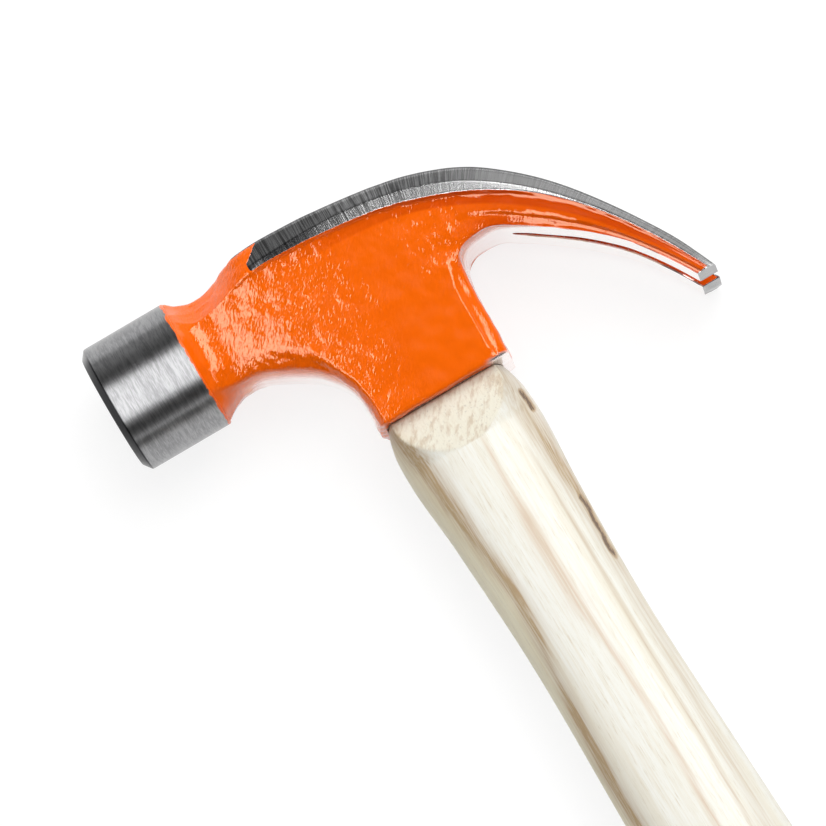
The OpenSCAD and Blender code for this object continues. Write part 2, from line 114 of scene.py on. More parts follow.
# Section styles: round collar, eight-sided neck, start of the railed body, railed body, claw tip.
# Sideways shares of the half width and depth shares, for the crest's edge, the two ground facets' crease,
# the rail's edge and the fillet under it, then the sideways share of the underside's edge.
STYLE_SHARES = np.array([
    (0.24, 0.03, 0.67, 0.60, 0.83, 0.935, 0.50, 0.80),
    (0.50, 0.02, 0.75, 0.50, 0.985, 0.995, 0.50, 0.84),
    (0.88, 0.10, 1.062, 0.80, 1.075, 1.012, 0.30, 0.86),
    (0.88, 0.10, 1.068, 0.60, 1.085, 1.015, 0.28, 0.86),
    (0.92, 0.08, 0.990, 0.90, 1.000, 0.985, 0.40, 0.96),
])
INNER_UNDER_SHARE = 0.45
UNDER_ROUND_SHARE = 0.75

# The ground band starts on a slanted line across the rail, between these two places,
# and earlier on the crown's top.
BAND_START = ((207, 70), (184, 50))
BAND_START_U = 184.0
BAND_CORNER = 1.2
TOP_START_U = 172.0

# The nail slot: where its root lies in the table, and its half widths in pixels.
SLOT_ROW = 32.7
SLOT_ROOT_HALF = 6.7
SLOT_TIP_HALF = 19.0
SLOT_BEVEL = 1.8
SLOT_SIDE_SHARE = 0.8

# Sizes of the eye, the handle and the wedges in millimetres, as in the part.
EYE_X_MM = 61.45
EYE_DROP_MM = 33.3
EYE_LEN_MM = 27.6
EYE_W_MM = 19.0
EYE_PINCH_MM = 0.9
EYE_ROUND_SHARE = 2.0
EYE_OVERRUN = 0.06
CROWN_MM = CROWN_V / PX_PER_MM
TENON_CLEAR_MM = 0.08
TENON_RECESS_MM = 0.6
OVERALL_MM = 330.0
HANDLE_LEAN = math.radians(1.2)
SHOULDER_LEN_MM = 12.2
SHOULDER_MM = (31.2, 22.2)
SHOULDER_ROWS = ((2.75, 29.3, 33.0), (6.5, 30.8, 26.9), (9.7, 31.15, 23.7))
WAIST_MM = (27.2, 20.4)
GRIP_MM = (31.0, 24.2)
BUTT_MM = (34.4, 26.2)
BUTT_ROUND_MM = 3.4
BUTT_TAPER_SHARE = 0.985
FLAT_SLOPE = math.radians(7.8)
KERF_MM = (3.5, 1.0, 31.0)
STEEL_SLOT_MM = (2.4, 0.6, 16.05)
STEEL_SLOT_W_MM = 12.6
STEEL_GAP_MM = 12.0
OVERRUN_MM = 2.0
TRIM_HEIGHT_MM = 8.0


def along(rows, t):
    """Catmull-Rom curve through the rows of a table, at the places t."""
    last = len(rows) - 1
    i = np.minimum(np.floor(t).astype(int), last - 1)
    f = (t - i)[:, None]
    a = rows[np.maximum(i - 1, 0)]
    b = rows[i]
    c = rows[i + 1]
    d = rows[np.minimum(i + 2, last)]
    return 0.5 * (
        2 * b + (c - a) * f + (2 * a - 5 * b + 4 * c - d) * f**2 + (3 * b - a - 3 * c + d) * f**3
    )


def eased(xs, ys, x):
    """A smooth curve through points that never swings past them, at the places x."""
    xs, ys = np.asarray(xs, float), np.asarray(ys, float)
    slopes = np.diff(ys) / np.diff(xs)
    same_way = slopes[1:] * slopes[:-1] > 0
    total = np.where(same_way, slopes[1:] + slopes[:-1], 1)
    inner = np.where(same_way, 2 * slopes[1:] * slopes[:-1] / total, 0)
    tangent = np.concatenate([[slopes[0]], inner, [slopes[-1]]])
    i = np.clip(np.searchsorted(xs, x, side="right") - 1, 0, len(xs) - 2)
    gap = xs[i + 1] - xs[i]
    f = (x - xs[i]) / gap
    rest = 1 - f
    bend = tangent[i] * rest - tangent[i + 1] * f
    return ys[i] * rest**2 * (1 + 2 * f) + ys[i + 1] * f**2 * (3 - 2 * f) + gap * f * rest * bend


def rise(value, start, reach):
    """How far a value has come past its start on the way over the reach, from 0 to 1."""
    return np.clip((value - start) / reach, 0, 1)


def hump(value, middle, half):
    """A soft peak of height 1 at the middle."""
    return np.exp(-(((value - middle) / half) ** 2))


def way(points):
    """How far each of the points lies along their line."""
    return np.concatenate([[0], np.cumsum(np.linalg.norm(np.diff(points, axis=0), axis=1))])


SHARP_ANGLE = 32


def mesh_object(name, points, faces, smooth_angle=SHARP_ANGLE):
    """A new object of points and faces, smooth except across edges sharper than the angle."""
    mesh = bpy.data.meshes.new(name)
    mesh.from_pydata([tuple(p) for p in points], [], faces)
    mesh.validate()
    mesh.update()
    obj = bpy.data.objects.new(name, mesh)
    bpy.context.scene.collection.objects.link(obj)
    shade(obj, smooth_angle)
    return obj


def shade(obj, angle):
    """Smooth shading, except across edges sharper than the angle."""
    mesh = obj.data
    mesh.shade_smooth()
    mesh.set_sharp_from_angle(angle=math.radians(angle))


def read(items, key, size=1, dtype=float):
    """One value of each of a mesh's items as an array, with a row per item where the size is over 1."""
    flat = np.empty(len(items) * size, dtype=dtype)
    items.foreach_get(key, flat)
    return flat.reshape(-1, size) if size > 1 else flat


def coords(mesh):
    """A mesh's vertices as an array."""
    return read(mesh.vertices, "co", 3)


def set_coords(mesh, points):
    """Moves a mesh's vertices to the points."""
    mesh.vertices.foreach_set("co", np.asarray(points).ravel())
    mesh.update()


def put_field(mesh, name, values):
    """Stores one number per vertex, for the materials to read."""
    layer = mesh.attributes.new(name, "FLOAT", "POINT")
    layer.data.foreach_set("value", np.asarray(values, dtype=np.float32))


def cut(obj, cutter):
    """Takes the cutter out of the object, and removes it."""
    modifier = obj.modifiers.new("cut", "BOOLEAN")
    modifier.operation = "DIFFERENCE"
    modifier.solver = "MANIFOLD"
    modifier.object = cutter
    graph = bpy.context.evaluated_depsgraph_get()
    mesh = bpy.data.meshes.new_from_object(obj.evaluated_get(graph))
    obj.modifiers.clear()
    old = obj.data
    mesh.materials.clear()
    obj.data = mesh
    bpy.data.meshes.remove(old)
    bpy.data.objects.remove(cutter, do_unlink=True)


def grid_faces(rows, columns):
    """Quads over rows of points, each row closed on itself."""
    faces = []
    for j in range(rows - 1):
        for i in range(columns):
            a, b = j * columns + i, j * columns + (i + 1) % columns
            faces.append((a, b, b + columns, a + columns))
    return faces


def lofted(name, rings):
    """A closed skin over rings of as many points each, in millimetres of the part's own axes."""
    columns = len(rings[0])
    points = [place_mm(*p) for ring in rings for p in ring]
    faces = grid_faces(len(rings), columns)
    faces.append(tuple(reversed(range(columns))))
    faces.append(tuple((len(rings) - 1) * columns + i for i in range(columns)))
    obj = mesh_object(name, points, faces)
    weld(obj)
    return obj


def place_mm(x, y, z):
    """The place of millimetres from the striking face, the poll's axis and the middle plane."""
    return (head_lo[0] + x * MM, AXIS_Y + y * MM, AXIS_Z + z * MM)


WELD_M = 1e-6


def weld(obj, smooth_angle=SHARP_ANGLE):
    """Joins the points that lie on each other, drops loose ones and turns every face outwards."""
    bm = bmesh.new()
    bm.from_mesh(obj.data)
    bmesh.ops.remove_doubles(bm, verts=bm.verts, dist=WELD_M)
    loose = [v for v in bm.verts if not v.link_faces]
    bmesh.ops.delete(bm, geom=loose, context="VERTS")
    bmesh.ops.recalc_face_normals(bm, faces=bm.faces)
    bm.to_mesh(obj.data)
    bm.free()
    shade(obj, smooth_angle)


# Roundings at the section's corners, in pixels, the share of a side that one may take,
# and how many quads run along each side, round each corner and down the slot's wall.
CORNER_RADII = (0, 5, 1.6, 1.4, 7, 9, 7, 4, 12, 0)
TRIM_SHARE = 0.42
SIDE_COUNTS = (6, 7, 5, 3, 4, 58, 4, 7, 5)
BEND_COUNT = 5
WALL_COUNT = 8
# The corners' numbers, from the crest round to the underside.
TOP_CORNER = 1
CREASE_CORNER = 2
RAIL_CORNER = 3
CHEEK_CORNER = 5
CHEEK_END_CORNER = 6
UNDER_CORNER = 7


def rounded_path(corners, counts):
    """Points along a path with rounded corners. Each corner is an array of a point per station."""
    trims = []
    for i in range(len(corners) - 1):
        length = np.linalg.norm(corners[i + 1] - corners[i], axis=1)[:, None]
        to_next = (corners[i + 1] - corners[i]) / np.maximum(length, 1e-9)
        first, final = (np.minimum(r, TRIM_SHARE * length) for r in CORNER_RADII[i : i + 2])
        trims.append((corners[i] + to_next * first, corners[i + 1] - to_next * final))
    out = []
    for i, (start, end) in enumerate(trims):
        out += [start + (end - start) * (k / counts[i]) for k in range(counts[i] + 1)]
        if i + 1 < len(trims):
            after = trims[i + 1][0]
            for f in (k / BEND_COUNT for k in range(1, BEND_COUNT)):
                out.append(end * (1 - f) ** 2 + corners[i + 1] * 2 * f * (1 - f) + after * f**2)
    return out


def section_corners(rows):
    """Half a section's corners at each station, from the crest round the near side to the underside."""
    u, v, slant, band, bevel, cu, cv, eu, ev, mu, mv, w, style = rows.T
    n = np.stack([-np.sin(np.radians(slant)), -np.cos(np.radians(slant))])
    whole = np.clip(np.floor(style).astype(int), 0, len(STYLE_SHARES) - 2)
    rest = (style - whole)[:, None]
    shares = STYLE_SHARES[whole] * (1 - rest) + STYLE_SHARES[whole + 1] * rest
    top_w, top_d, mid_w, mid_d, rail_w, fillet_w, fillet_d, under_w = shares.T

    def point(a, b, c):
        return np.stack([a, b, c], axis=1)

    def on_slant(depth, side):
        return point(u + n[0] * depth, v + n[1] * depth, side * w)

    inner_u = eu + (mu - eu) * UNDER_ROUND_SHARE
    inner_v = ev + (mv - ev) * UNDER_ROUND_SHARE
    return [
        point(u, v, 0 * w),
        on_slant(band * top_d, top_w),
        on_slant(band * mid_d, mid_w),
        on_slant(band, rail_w),
        on_slant(band + (bevel - band) * fillet_d, fillet_w),
        on_slant(bevel, 1),
        point(cu, cv, w),
        point(eu, ev, under_w * w),
        point(inner_u, inner_v, INNER_UNDER_SHARE * w),
        point(mu, mv, 0 * w),
    ]


# How many sections the forging has, the crest's share in their spacing against the cheek's lower edge,
# and the steps in the table at which they follow the slot's root.
STATIONS = 330
CREST_SHARE = 0.55
ROOT_STEPS = (0, 0.008, 0.03, 0.07, 0.13, 0.2, 0.3)
ROOT_CLEAR = 0.05


def head_stations():
    """Places along the table, evenly spaced along the head and closer together round the slot's root."""
    fine = np.linspace(0, len(HEAD_ROWS) - 1, 2000)
    rows = along(HEAD_ROWS, fine)
    steps = CREST_SHARE * np.hypot(np.diff(rows[:, 0]), np.diff(rows[:, 1]))
    steps += (1 - CREST_SHARE) * np.hypot(np.diff(rows[:, 5]), np.diff(rows[:, 6]))
    run = np.concatenate([[0], np.cumsum(steps)])
    t = np.interp(np.linspace(0, run[-1], STATIONS), run, fine)
    t = [x for x in t if abs(x - SLOT_ROW) > ROOT_CLEAR or x > SLOT_ROW]
    t += [SLOT_ROW + d for d in ROOT_STEPS]
    return np.array(sorted(set(round(x, 5) for x in t)))


def slot_half(rows, t):
    """Half the slot's width at each station, which is round at its root, and the way gone from there."""
    run = way(rows[:, 9:11])
    start = np.interp(SLOT_ROW, t, run)
    d = np.maximum(run - start, 0)
    r = SLOT_ROOT_HALF
    grow = (SLOT_TIP_HALF - r) / (run[-1] - start - r)
    bow = np.sqrt(np.maximum(r**2 - (r - np.minimum(d, r)) ** 2, 0))
    return np.where(d < r, bow, r + grow * (d - r)), d


def run_to(corner, run, counts):
    """The way along each section to the middle of a corner's rounding."""
    before = sum(c + 1 for c in counts[:corner]) + (corner - 1) * (BEND_COUNT - 1) - 1
    return (run[:, before] + run[:, before + BEND_COUNT])[:, None] / 2


def band_field(path, run, counts):
    """How far each point lies inside the ground band, in pixels, across it and from its start line."""
    lane = run_to(RAIL_CORNER, run, counts) - run
    (ua, va), (ub, vb) = BAND_START
    length = math.hypot(ua - ub, va - vb)
    start = ((path[:, :, 0] - ub) * (va - vb) - (path[:, :, 1] - vb) * (ua - ub)) / length
    start = np.minimum(start, path[:, :, 0] - BAND_START_U)
    band = -BAND_CORNER * np.logaddexp(-lane / BAND_CORNER, -start / BAND_CORNER)
    top = np.minimum(run_to(TOP_CORNER, run, counts) - run, path[:, :, 0] - TOP_START_U)
    return np.maximum(band, top)


# The cheek's edge over the throat rolls off: reach before and past it, drop, start and reach in u and v.
# The claws' sides fall from a soft ridge: drop, start and reach in u and as shares of the side.
ROLL_REACH = 16.0
PAST_EDGE = 9.0
ROLL_DROP = 2.4
ROLL_U = (340, 12)
ROLL_V = (-40, -20)
RIDGE_DROP = 2.2
RIDGE_U = (380, 40)
RIDGE_SIDE = (0.25, 0.35)


def edge_roll(rows, left):
    """How much lower the cheek gets towards its edge over the throat, given the way left to that edge."""
    place = rise(rows[:, 5], *ROLL_U) * rise(rows[:, 6], *ROLL_V)
    before = rise(left, ROLL_REACH, -ROLL_REACH) ** 2
    after = rise(left, -PAST_EDGE, PAST_EDGE)
    return ROLL_DROP * place[:, None] * np.where(left > 0, before, after)


def claw_ridge(rows, side, left):
    """How much lower the claws' sides are below the soft ridge along their middle."""
    place = rise(rows[:, 5], *RIDGE_U)[:, None]
    share = rise(side, *RIDGE_SIDE)
    return RIDGE_DROP * place * share**2 * (3 - 2 * share) * rise(left, -PAST_EDGE, PAST_EDGE)


# The slot's lower bevel moves so many points, over so many bevels sideways, and grows over so many
# root widths.
LIP_POINTS = 8
LIP_REACH = 3
LIP_GROW = 2.5
# Well past the ground band's edge and the underside's edge in pixels, and out of reach in metres.
FAR_PX = 9.0
FAR_UNDER_PX = -60.0
FAR_M = 9.0


def forging():
    """The forged part of the head: neck, cheeks, drop eye and claws with the nail slot between them."""
    t = head_stations()
    rows = along(HEAD_ROWS, t)
    counts = SIDE_COUNTS
    path = np.stack(rounded_path(section_corners(rows), counts), axis=1)
    steps = np.linalg.norm(np.diff(path, axis=1), axis=2)
    across = np.concatenate([np.zeros((len(path), 1)), np.cumsum(steps, axis=1)], axis=1)
    ground = band_field(path, across, counts)
    corners = (TOP_CORNER, CREASE_CORNER, RAIL_CORNER, CHEEK_CORNER, CHEEK_END_CORNER, UNDER_CORNER)
    top, crease, rail, cheek, cheek_end, under = (run_to(c, across, counts) for c in corners)
    fillet = np.clip((cheek - across) / (cheek - rail), 0, 1) * (across > rail)
    side = (across - cheek) / (cheek_end - cheek)
    path[:, :, 2] -= edge_roll(rows, cheek_end - across) + claw_ridge(rows, side, cheek_end - across)
    half, gone = slot_half(rows, t)
    inner = SLOT_SIDE_SHARE * rows[:, 11][:, None]
    path[:, :, 2] += half[:, None] * np.maximum(0, 1 - path[:, :, 2] / inner)

    # the slot's wall, bevelled along its lower edge
    bevel = SLOT_BEVEL * rise(gone, 0, LIP_GROW * SLOT_ROOT_HALF)[:, None]
    crest = path[:, 0].copy()
    bottom = path[:, -1].copy()
    down = bottom - crest
    down /= np.linalg.norm(down, axis=1)[:, None]
    near = path[:, -1, 2][:, None]
    reach = LIP_REACH * SLOT_BEVEL
    path[:, -LIP_POINTS:, 2] += bevel * rise(path[:, -LIP_POINTS:, 2] - near, reach, -reach)
    lip = bottom - down * bevel
    wall = np.stack([lip + (crest - lip) * (k / WALL_COUNT) for k in range(WALL_COUNT)], axis=1)
    ring = np.concatenate([path, wall], axis=1)

    stations, columns = ring.shape[:2]
    main = path.shape[1]
    root = int(np.argmin(np.abs(t - SLOT_ROW)))
    faces = []
    for j in range(stations - 1):
        for i in range(columns if j >= root else main - 1):
            a, b = j * columns + i, j * columns + (i + 1) % columns
            faces.append((a, b, b + columns, a + columns))
    faces.append(tuple(range(main - 1, -1, -1)))
    faces.append(tuple((stations - 1) * columns + i for i in range(columns)))

    points = ring.reshape(-1, 3)
    count = len(points)
    points = np.concatenate([points, points * np.array([1, 1, -1])])
    faces += [tuple(count + i for i in reversed(f)) for f in faces]
    source = np.array([at(*p) for p in points])
    obj = mesh_object("head_forging", source, faces)
    weld(obj)

    def whole(on_skin, on_wall=0.0):
        return np.concatenate([on_skin, on_wall + np.zeros(wall.shape[:2])], axis=1)

    lane = way(path[:, 0])[:, None]
    fields = {
        "ground": whole(ground, -FAR_PX),
        "lane": whole(lane + 0 * across, lane),
        "across": whole(across),
        "under": whole(across - under, FAR_UNDER_PX),
        "crease": whole(across - crease),
        "below_top": whole(across - top),
        "fillet": whole(fillet),
        "side": whole(side, -1.0),
        "wall": whole(0 * side, np.linspace(2, 1, WALL_COUNT)),
    }
    for axis, name in enumerate("uvw"):
        fields[name] = whole(path[:, :, axis], wall[:, :, axis])
    fields["ground"][-1, :] = FAR_PX
    unused = np.zeros((stations, columns), dtype=bool)
    unused[:root, main:] = True
    source[np.tile(unused.ravel(), 2)] += FAR_M
    fields = {k: np.tile(v.ravel(), 2) for k, v in fields.items()}
    fields["w"][count:] *= -1
    return obj, source, fields


def nearest_fields(points, source, fields):
    """Each field at the points, taken from the closest source points."""
    tree = kdtree.KDTree(len(source))
    for i, p in enumerate(source):
        tree.insert(p, i)
    tree.balance()
    index = np.array([tree.find(p)[1] for p in points])
    return {name: values[index] for name, values in fields.items()}


# How uneven the forged surface is along the head: places in u, slopes of the fine and coarse lumps,
# and the flecks' strength.
LUMP_U = (92, 124, 140, 160, 200, 235, 300, 355, 430, 500, 587)
FINE_LUMPS = (0.02, 0.09, 0.085, 0.075, 0.08, 0.07, 0.035, 0.055, 0.015, 0.01, 0.01)
COARSE_LUMPS = (0.03, 0.05, 0.06, 0.06, 0.075, 0.07, 0.045, 0.075, 0.05, 0.04, 0.02)
FLECKS = (0.6, 1.4, 1.1, 1.3, 1.7, 1.4, 0.5, 0.9, 0.5, 0.4, 0.3)
# The lumps' sizes in millimetres, and the broad ones' slope.
FINE_MM = 1.15
COARSE_MM = 3.2
BROAD_MM = 9.0
BROAD_SLOPE = 0.03
# Ridges down the neck's rear: middle and reach in u, slope, and sizes in millimetres.
STREAK_U = (218, 14)
STREAK_SLOPE = 0.05
LEAST_STREAK = 0.01
STREAK_MM = (0.9, 5, 5)
# The lower cheek beside the throat is calmer: by how much, and the start and reach in u and v.
CALM = 0.55
CALM_U = (270, 30)
CALM_V = (-50, -40)
# Lumps and flecks fade next to the ground band, over so many pixels, and on pale undersides by these shares.
FADE_PX = 3.0
PALE_LUMP_FADE = 0.7
PALE_FLECK_FADE = 0.8
# Flecks are stronger along the underside's edge and on the claws' ridge: middle and half width, start and
# reach in u, and on the claws the least strength and what the ridge adds.
EDGE_FLECKS = (-9, 7)
EDGE_U = (300, 30)
RIDGE_FLECKS = (0.45, 0.3)
CLAW_U = (390, 40)
CLAW_FLECKS = (0.4, 1.9)


def forge_lumps(obj, fields):
    """Moves the painted surface in and out like a forged one, but nowhere past the part's box."""
    mesh = obj.data
    points = coords(mesh)
    u = fields["u"]
    fields["pale"] = pale_under(fields)
    pale = np.clip(fields["pale"], 0, 1)
    calm = 1 - CALM * rise(u, *CALM_U) * rise(fields["v"], *CALM_V)
    fine = calm * np.interp(u, LUMP_U, FINE_LUMPS)
    coarse = np.interp(u, LUMP_U, COARSE_LUMPS)
    streak = STREAK_SLOPE * hump(u, *STREAK_U)
    painted = rise(fields["ground"], 0, -FADE_PX) * (1 - PALE_LUMP_FADE * pale)
    lift = np.zeros(len(points))
    for i in np.flatnonzero(painted > 0):
        q = Vector(points[i]) / MM
        height = fine[i] * FINE_MM * noise.noise(q / FINE_MM)
        height += coarse[i] * COARSE_MM * noise.noise(q / COARSE_MM)
        height += BROAD_SLOPE * BROAD_MM * noise.noise(q / BROAD_MM)
        if streak[i] > LEAST_STREAK:
            height += streak[i] * noise.noise(Vector(a / size for a, size in zip(q, STREAK_MM)))
        lift[i] = height
    moved = points + read(mesh.vertex_normals, "vector", 3) * (lift * painted * MM)[:, None]
    set_coords(mesh, np.clip(moved, head_lo, head_hi))
    least, more = CLAW_FLECKS
    ridge = least + more * hump(fields["side"], *RIDGE_FLECKS)
    flecks = calm * np.interp(u, LUMP_U, FLECKS) * (1 - PALE_FLECK_FADE * pale)
    flecks *= 1 + hump(fields["under"], *EDGE_FLECKS) * rise(u, *EDGE_U)
    fields["flecks"] = flecks * (1 + rise(u, *CLAW_U) * (ridge - 1))
    fields["painted_reflection"] = painted_steel_reflection(fields)


# How bright the bare steel is painted along the head, above and below the rail's crease, as a painted
# reflection of the lights and the dark room.
TONE_U = (200, 240, 300, 340, 380, 440, 500, 587)
UPPER_TONE = (0.18, 0.20, 0.26, 0.29, 0.36, 0.88, 1.0, 1.0)
LOWER_TONE = (0.0, 0.05, 0.50, 0.66, 0.86, 0.86, 0.36, 0.30)
# The claws' crest is painted darker as a dark reflection: by how much, and start and reach in pixels under
# it and in u.
CREST_DARKER = 0.8
CREST_PX = (5.6, -4)
CREST_U = (330, 100)


def painted_steel_reflection(fields):
    """The bare steel's brightness as a painted reflection, from 0 to 1."""
    u = fields["u"]
    share = rise(fields["crease"], -1, 2)
    upper = np.interp(u, TONE_U, UPPER_TONE)
    painted_reflection = upper + (np.interp(u, TONE_U, LOWER_TONE) - upper) * share
    return painted_reflection * (1 - CREST_DARKER * rise(fields["below_top"], *CREST_PX) * rise(u, *CREST_U))


# How pale the undersides are, a painted reflection of the white table, from the neck past the drop eye and
# along the claws.
PALE_U = (92, 112, 125, 140, 190, 216, 226, 362, 372, 384, 400, 430, 587)
PALE = (0.0, 0.0, 0.4, 0.8, 0.95, 0.95, 0.0, 0.0, 0.7, 0.8, 0.9, 1.0, 1.0)
# How far past the underside's edge that starts and over how many pixels it grows, on the near and far side.
NEAR_START = ((220, 340, 400, 460), (2, 16, 16, -5))
NEAR_REACH = ((400, 460), (30, 5))
FAR_START = ((380, 400), (-5, -8.5))
FAR_REACH = 5
# It fades down the drop eye, and comes back on the lug's lower corner under the throat.
LUG_U = (340, 376)
LUG_FADE_V = (-80, 20)
LUG_LEAST = 0.15
NECK_END_U = 300
NECK_FADE_V = (-156, 8)
CORNER_PALE = 0.9
CORNER_V = (-156.5, -1.5)
CORNER_REACH_U = 8


def pale_under(fields):
    """How much of the white table the undersides show, painted into their colour as a pale reflection."""
    u, v, under = fields["u"], fields["v"], fields["under"]
    near = rise(under, np.interp(u, *NEAR_START), np.interp(u, *NEAR_REACH))
    far = rise(under, np.interp(u, *FAR_START), FAR_REACH)
    on_lug = (u > LUG_U[0]) & (u < LUG_U[1])
    pale = np.interp(u, PALE_U, PALE) * np.where(fields["w"] < 0, far, near)
    pale *= np.where(on_lug, np.maximum(rise(v, *LUG_FADE_V), LUG_LEAST), 1)
    pale *= np.where(u < NECK_END_U, rise(v, *NECK_FADE_V), 1)
    return np.maximum(pale, CORNER_PALE * rise(v, *CORNER_V) * rise(u, LUG_U[0], CORNER_REACH_U) * on_lug)


# How much squarer than an ellipse the ovals are, along and across them, and how many rings the eye has.
OVAL_POWERS = (0.92, 0.86)
EYE_RINGS = 24


def oval(a, b, flat, y, x, count):
    """A level ring in millimetres about x, an oval of half lengths a and b with flat sides."""
    t = np.arange(count) * 2 * math.pi / count
    along_x, across = (np.sign(f) * np.abs(f) ** p for f, p in zip((np.cos(t), np.sin(t)), OVAL_POWERS))
    return np.stack([x + a * along_x, np.full(count, y), np.clip(b * across, -flat, flat)], axis=1)


def eye_ring(s, less, count):
    """The eye's outline at a share s of the way from its mouth to the crown, less some millimetres."""
    pinch = EYE_PINCH_MM * math.sin(math.pi * min(1, max(0, s)))
    half_l = (EYE_LEN_MM - pinch) / 2 - less
    half_w = (EYE_W_MM - pinch) / 2 - less
    y = -EYE_DROP_MM + (EYE_DROP_MM + CROWN_MM) * s
    return oval(half_l, EYE_ROUND_SHARE * half_w, half_w, y, EYE_X_MM, count)


def eye_cutter():
    """What the eye takes out of the forging."""
    shares = np.linspace(1 + EYE_OVERRUN, -EYE_OVERRUN, EYE_RINGS)
    return lofted("eye", [eye_ring(s, 0, 160) for s in shares])


def head():
    """The forging with its eye, its lumps and the fields that its material reads."""
    obj, source, fields = forging()
    clean = nearest_fields(coords(obj.data), source, fields)
    forge_lumps(obj, clean)
    source = coords(obj.data)
    cut(obj, eye_cutter())
    for name, values in nearest_fields(coords(obj.data), source, clean).items():
        put_field(obj.data, name, values)
    shade(obj, SHARP_ANGLE)
    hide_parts("hammer_head")
    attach(obj, "root")
    return obj


# The poll's outline in pixels: radii on the face, then places behind the face and what the radius lacks
# there, and the same counted from the rear.
FACE_RINGS = (20, 40)
POLL_RIM = ((0, 9.2), (0.3, 8.4), (6.1, 0.7), (7.2, 0.1), (8.5, 0))
POLL_REAR = ((-1.2, 0.25), (0, 1.2), (0, 8))
POLL_REAR_START = 2.0
POLL_STEPS = 30
POLL_SHARP = 20


def poll():
    """The ground striking end: a turned cylinder with a chamfered face."""
    r = POLL_R_PX
    profile = [(FACE_U, radius) for radius in FACE_RINGS]
    profile += [(FACE_U + back, r - less) for back, less in POLL_RIM]
    straight = np.linspace(profile[-1][0], POLL_REAR_U - POLL_REAR_START, POLL_STEPS + 1)
    profile += [(u, r) for u in straight[1:]]
    profile += [(POLL_REAR_U + back, r - less) for back, less in POLL_REAR]
    turns = 256
    points = []
    for u, radius in profile:
        for a in (2 * math.pi * k / turns for k in range(turns)):
            points.append(at(u, radius * math.cos(a), radius * math.sin(a)))
    faces = grid_faces(len(profile), turns)
    faces.append(tuple(range(turns)))
    faces.append(tuple(reversed(range((len(profile) - 1) * turns, len(profile) * turns))))
    obj = mesh_object("head_poll", points, faces, POLL_SHARP)
    weld(obj, POLL_SHARP)
    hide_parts("hammer_head")
    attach(obj, "root")
    return obj


def mix(a, b, share):
    """A pair of sizes between two others."""
    return (a[0] + (b[0] - a[0]) * share, a[1] + (b[1] - a[1]) * share)


# Stations down the handle: share of its length under the eye, two sizes, and the share between them.
HANDLE_ROWS = (
    (0.10, SHOULDER_MM, WAIST_MM, 0.51),
    (0.21, WAIST_MM, WAIST_MM, 0),
    (0.33, WAIST_MM, GRIP_MM, 0.39),
    (0.52, GRIP_MM, GRIP_MM, 0),
    (0.70, GRIP_MM, WAIST_MM, 0.19),
    (0.87, GRIP_MM, BUTT_MM, 0.52),
    (0.95, BUTT_MM, BUTT_MM, 0),
)


def handle_rows():
    """Stations down the handle from the eye: distance, depth and thickness in millimetres."""
    run = OVERALL_MM - CROWN_MM - EYE_DROP_MM
    tenon = (EYE_LEN_MM - 2 * TENON_CLEAR_MM, (EYE_W_MM - 2 * TENON_CLEAR_MM) * EYE_ROUND_SHARE)
    stations = [(0, *tenon), *SHOULDER_ROWS, (SHOULDER_LEN_MM, *SHOULDER_MM)]
    stations += [(share * run, *mix(a, b, part)) for share, a, b, part in HANDLE_ROWS]
    stations.append((run - BUTT_ROUND_MM, *mix((0, 0), BUTT_MM, BUTT_TAPER_SHARE)))
    return np.array(stations), run


def handle_ring(d, depth, thick, count):
    """The handle's outline at a distance d below the eye."""
    flat = EYE_W_MM / 2 - TENON_CLEAR_MM + max(0, d) * math.tan(FLAT_SLOPE)
    return oval(depth / 2, thick / 2, flat, -EYE_DROP_MM - d, EYE_X_MM + d * math.tan(HANDLE_LEAN), count)


# The tenon's rings and its end's share of the eye, the steps between the handle's rings in millimetres,
# near the eye and below, and the butt's turns in degrees.
TENON_RINGS = 40
TENON_END = 0.02
RING_STEPS = ((0.35, 1.1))
BUTT_TURNS = (12, 25, 38, 50, 62, 72, 81, 90)


def handle_blank():
    """The handle before its top is trimmed and slit."""
    count = 160
    table, run = handle_rows()
    rings = [eye_ring(s, TENON_CLEAR_MM, count) for s in np.linspace(1, TENON_END, TENON_RINGS)]
    top_step, step = RING_STEPS
    stops = np.arange(0, SHOULDER_LEN_MM + 2, top_step)
    stops = np.concatenate([stops, np.arange(stops[-1] + step, table[-1, 0], step), table[-1:, 0]])
    depths, thicks = (eased(table[:, 0], table[:, k], stops) for k in (1, 2))
    for row in zip(stops, depths, thicks):
        rings.append(handle_ring(*row, count))
    end_depth, end_thick = table[-1][1:]
    for a in np.radians(BUTT_TURNS):
        inset = BUTT_ROUND_MM * (1 - math.cos(a))
        d = run - BUTT_ROUND_MM * (1 - math.sin(a))
        rings.append(handle_ring(d, end_depth - 2 * inset, end_thick - 2 * inset, count))
    return lofted("handle_wood", rings)


def block(name, corners):
    """A closed prism between two loops of corners in millimetres."""
    a, b = corners
    n = len(a)
    faces = [tuple(reversed(range(n))), tuple(n + i for i in range(n))]
    faces += [(i, (i + 1) % n, n + (i + 1) % n, n + i) for i in range(n)]
    obj = mesh_object(name, [place_mm(*p) for p in list(a) + list(b)], faces)
    weld(obj)
    return obj


def crown_y(x):
    """The crown's height over the eye, in millimetres, at x from the striking face."""
    t = np.linspace(0, len(HEAD_ROWS) - 1, 400)
    rows = along(HEAD_ROWS, t)
    return float(np.interp(FACE_U + x * PX_PER_MM, rows[:, 0], rows[:, 1])) / PX_PER_MM


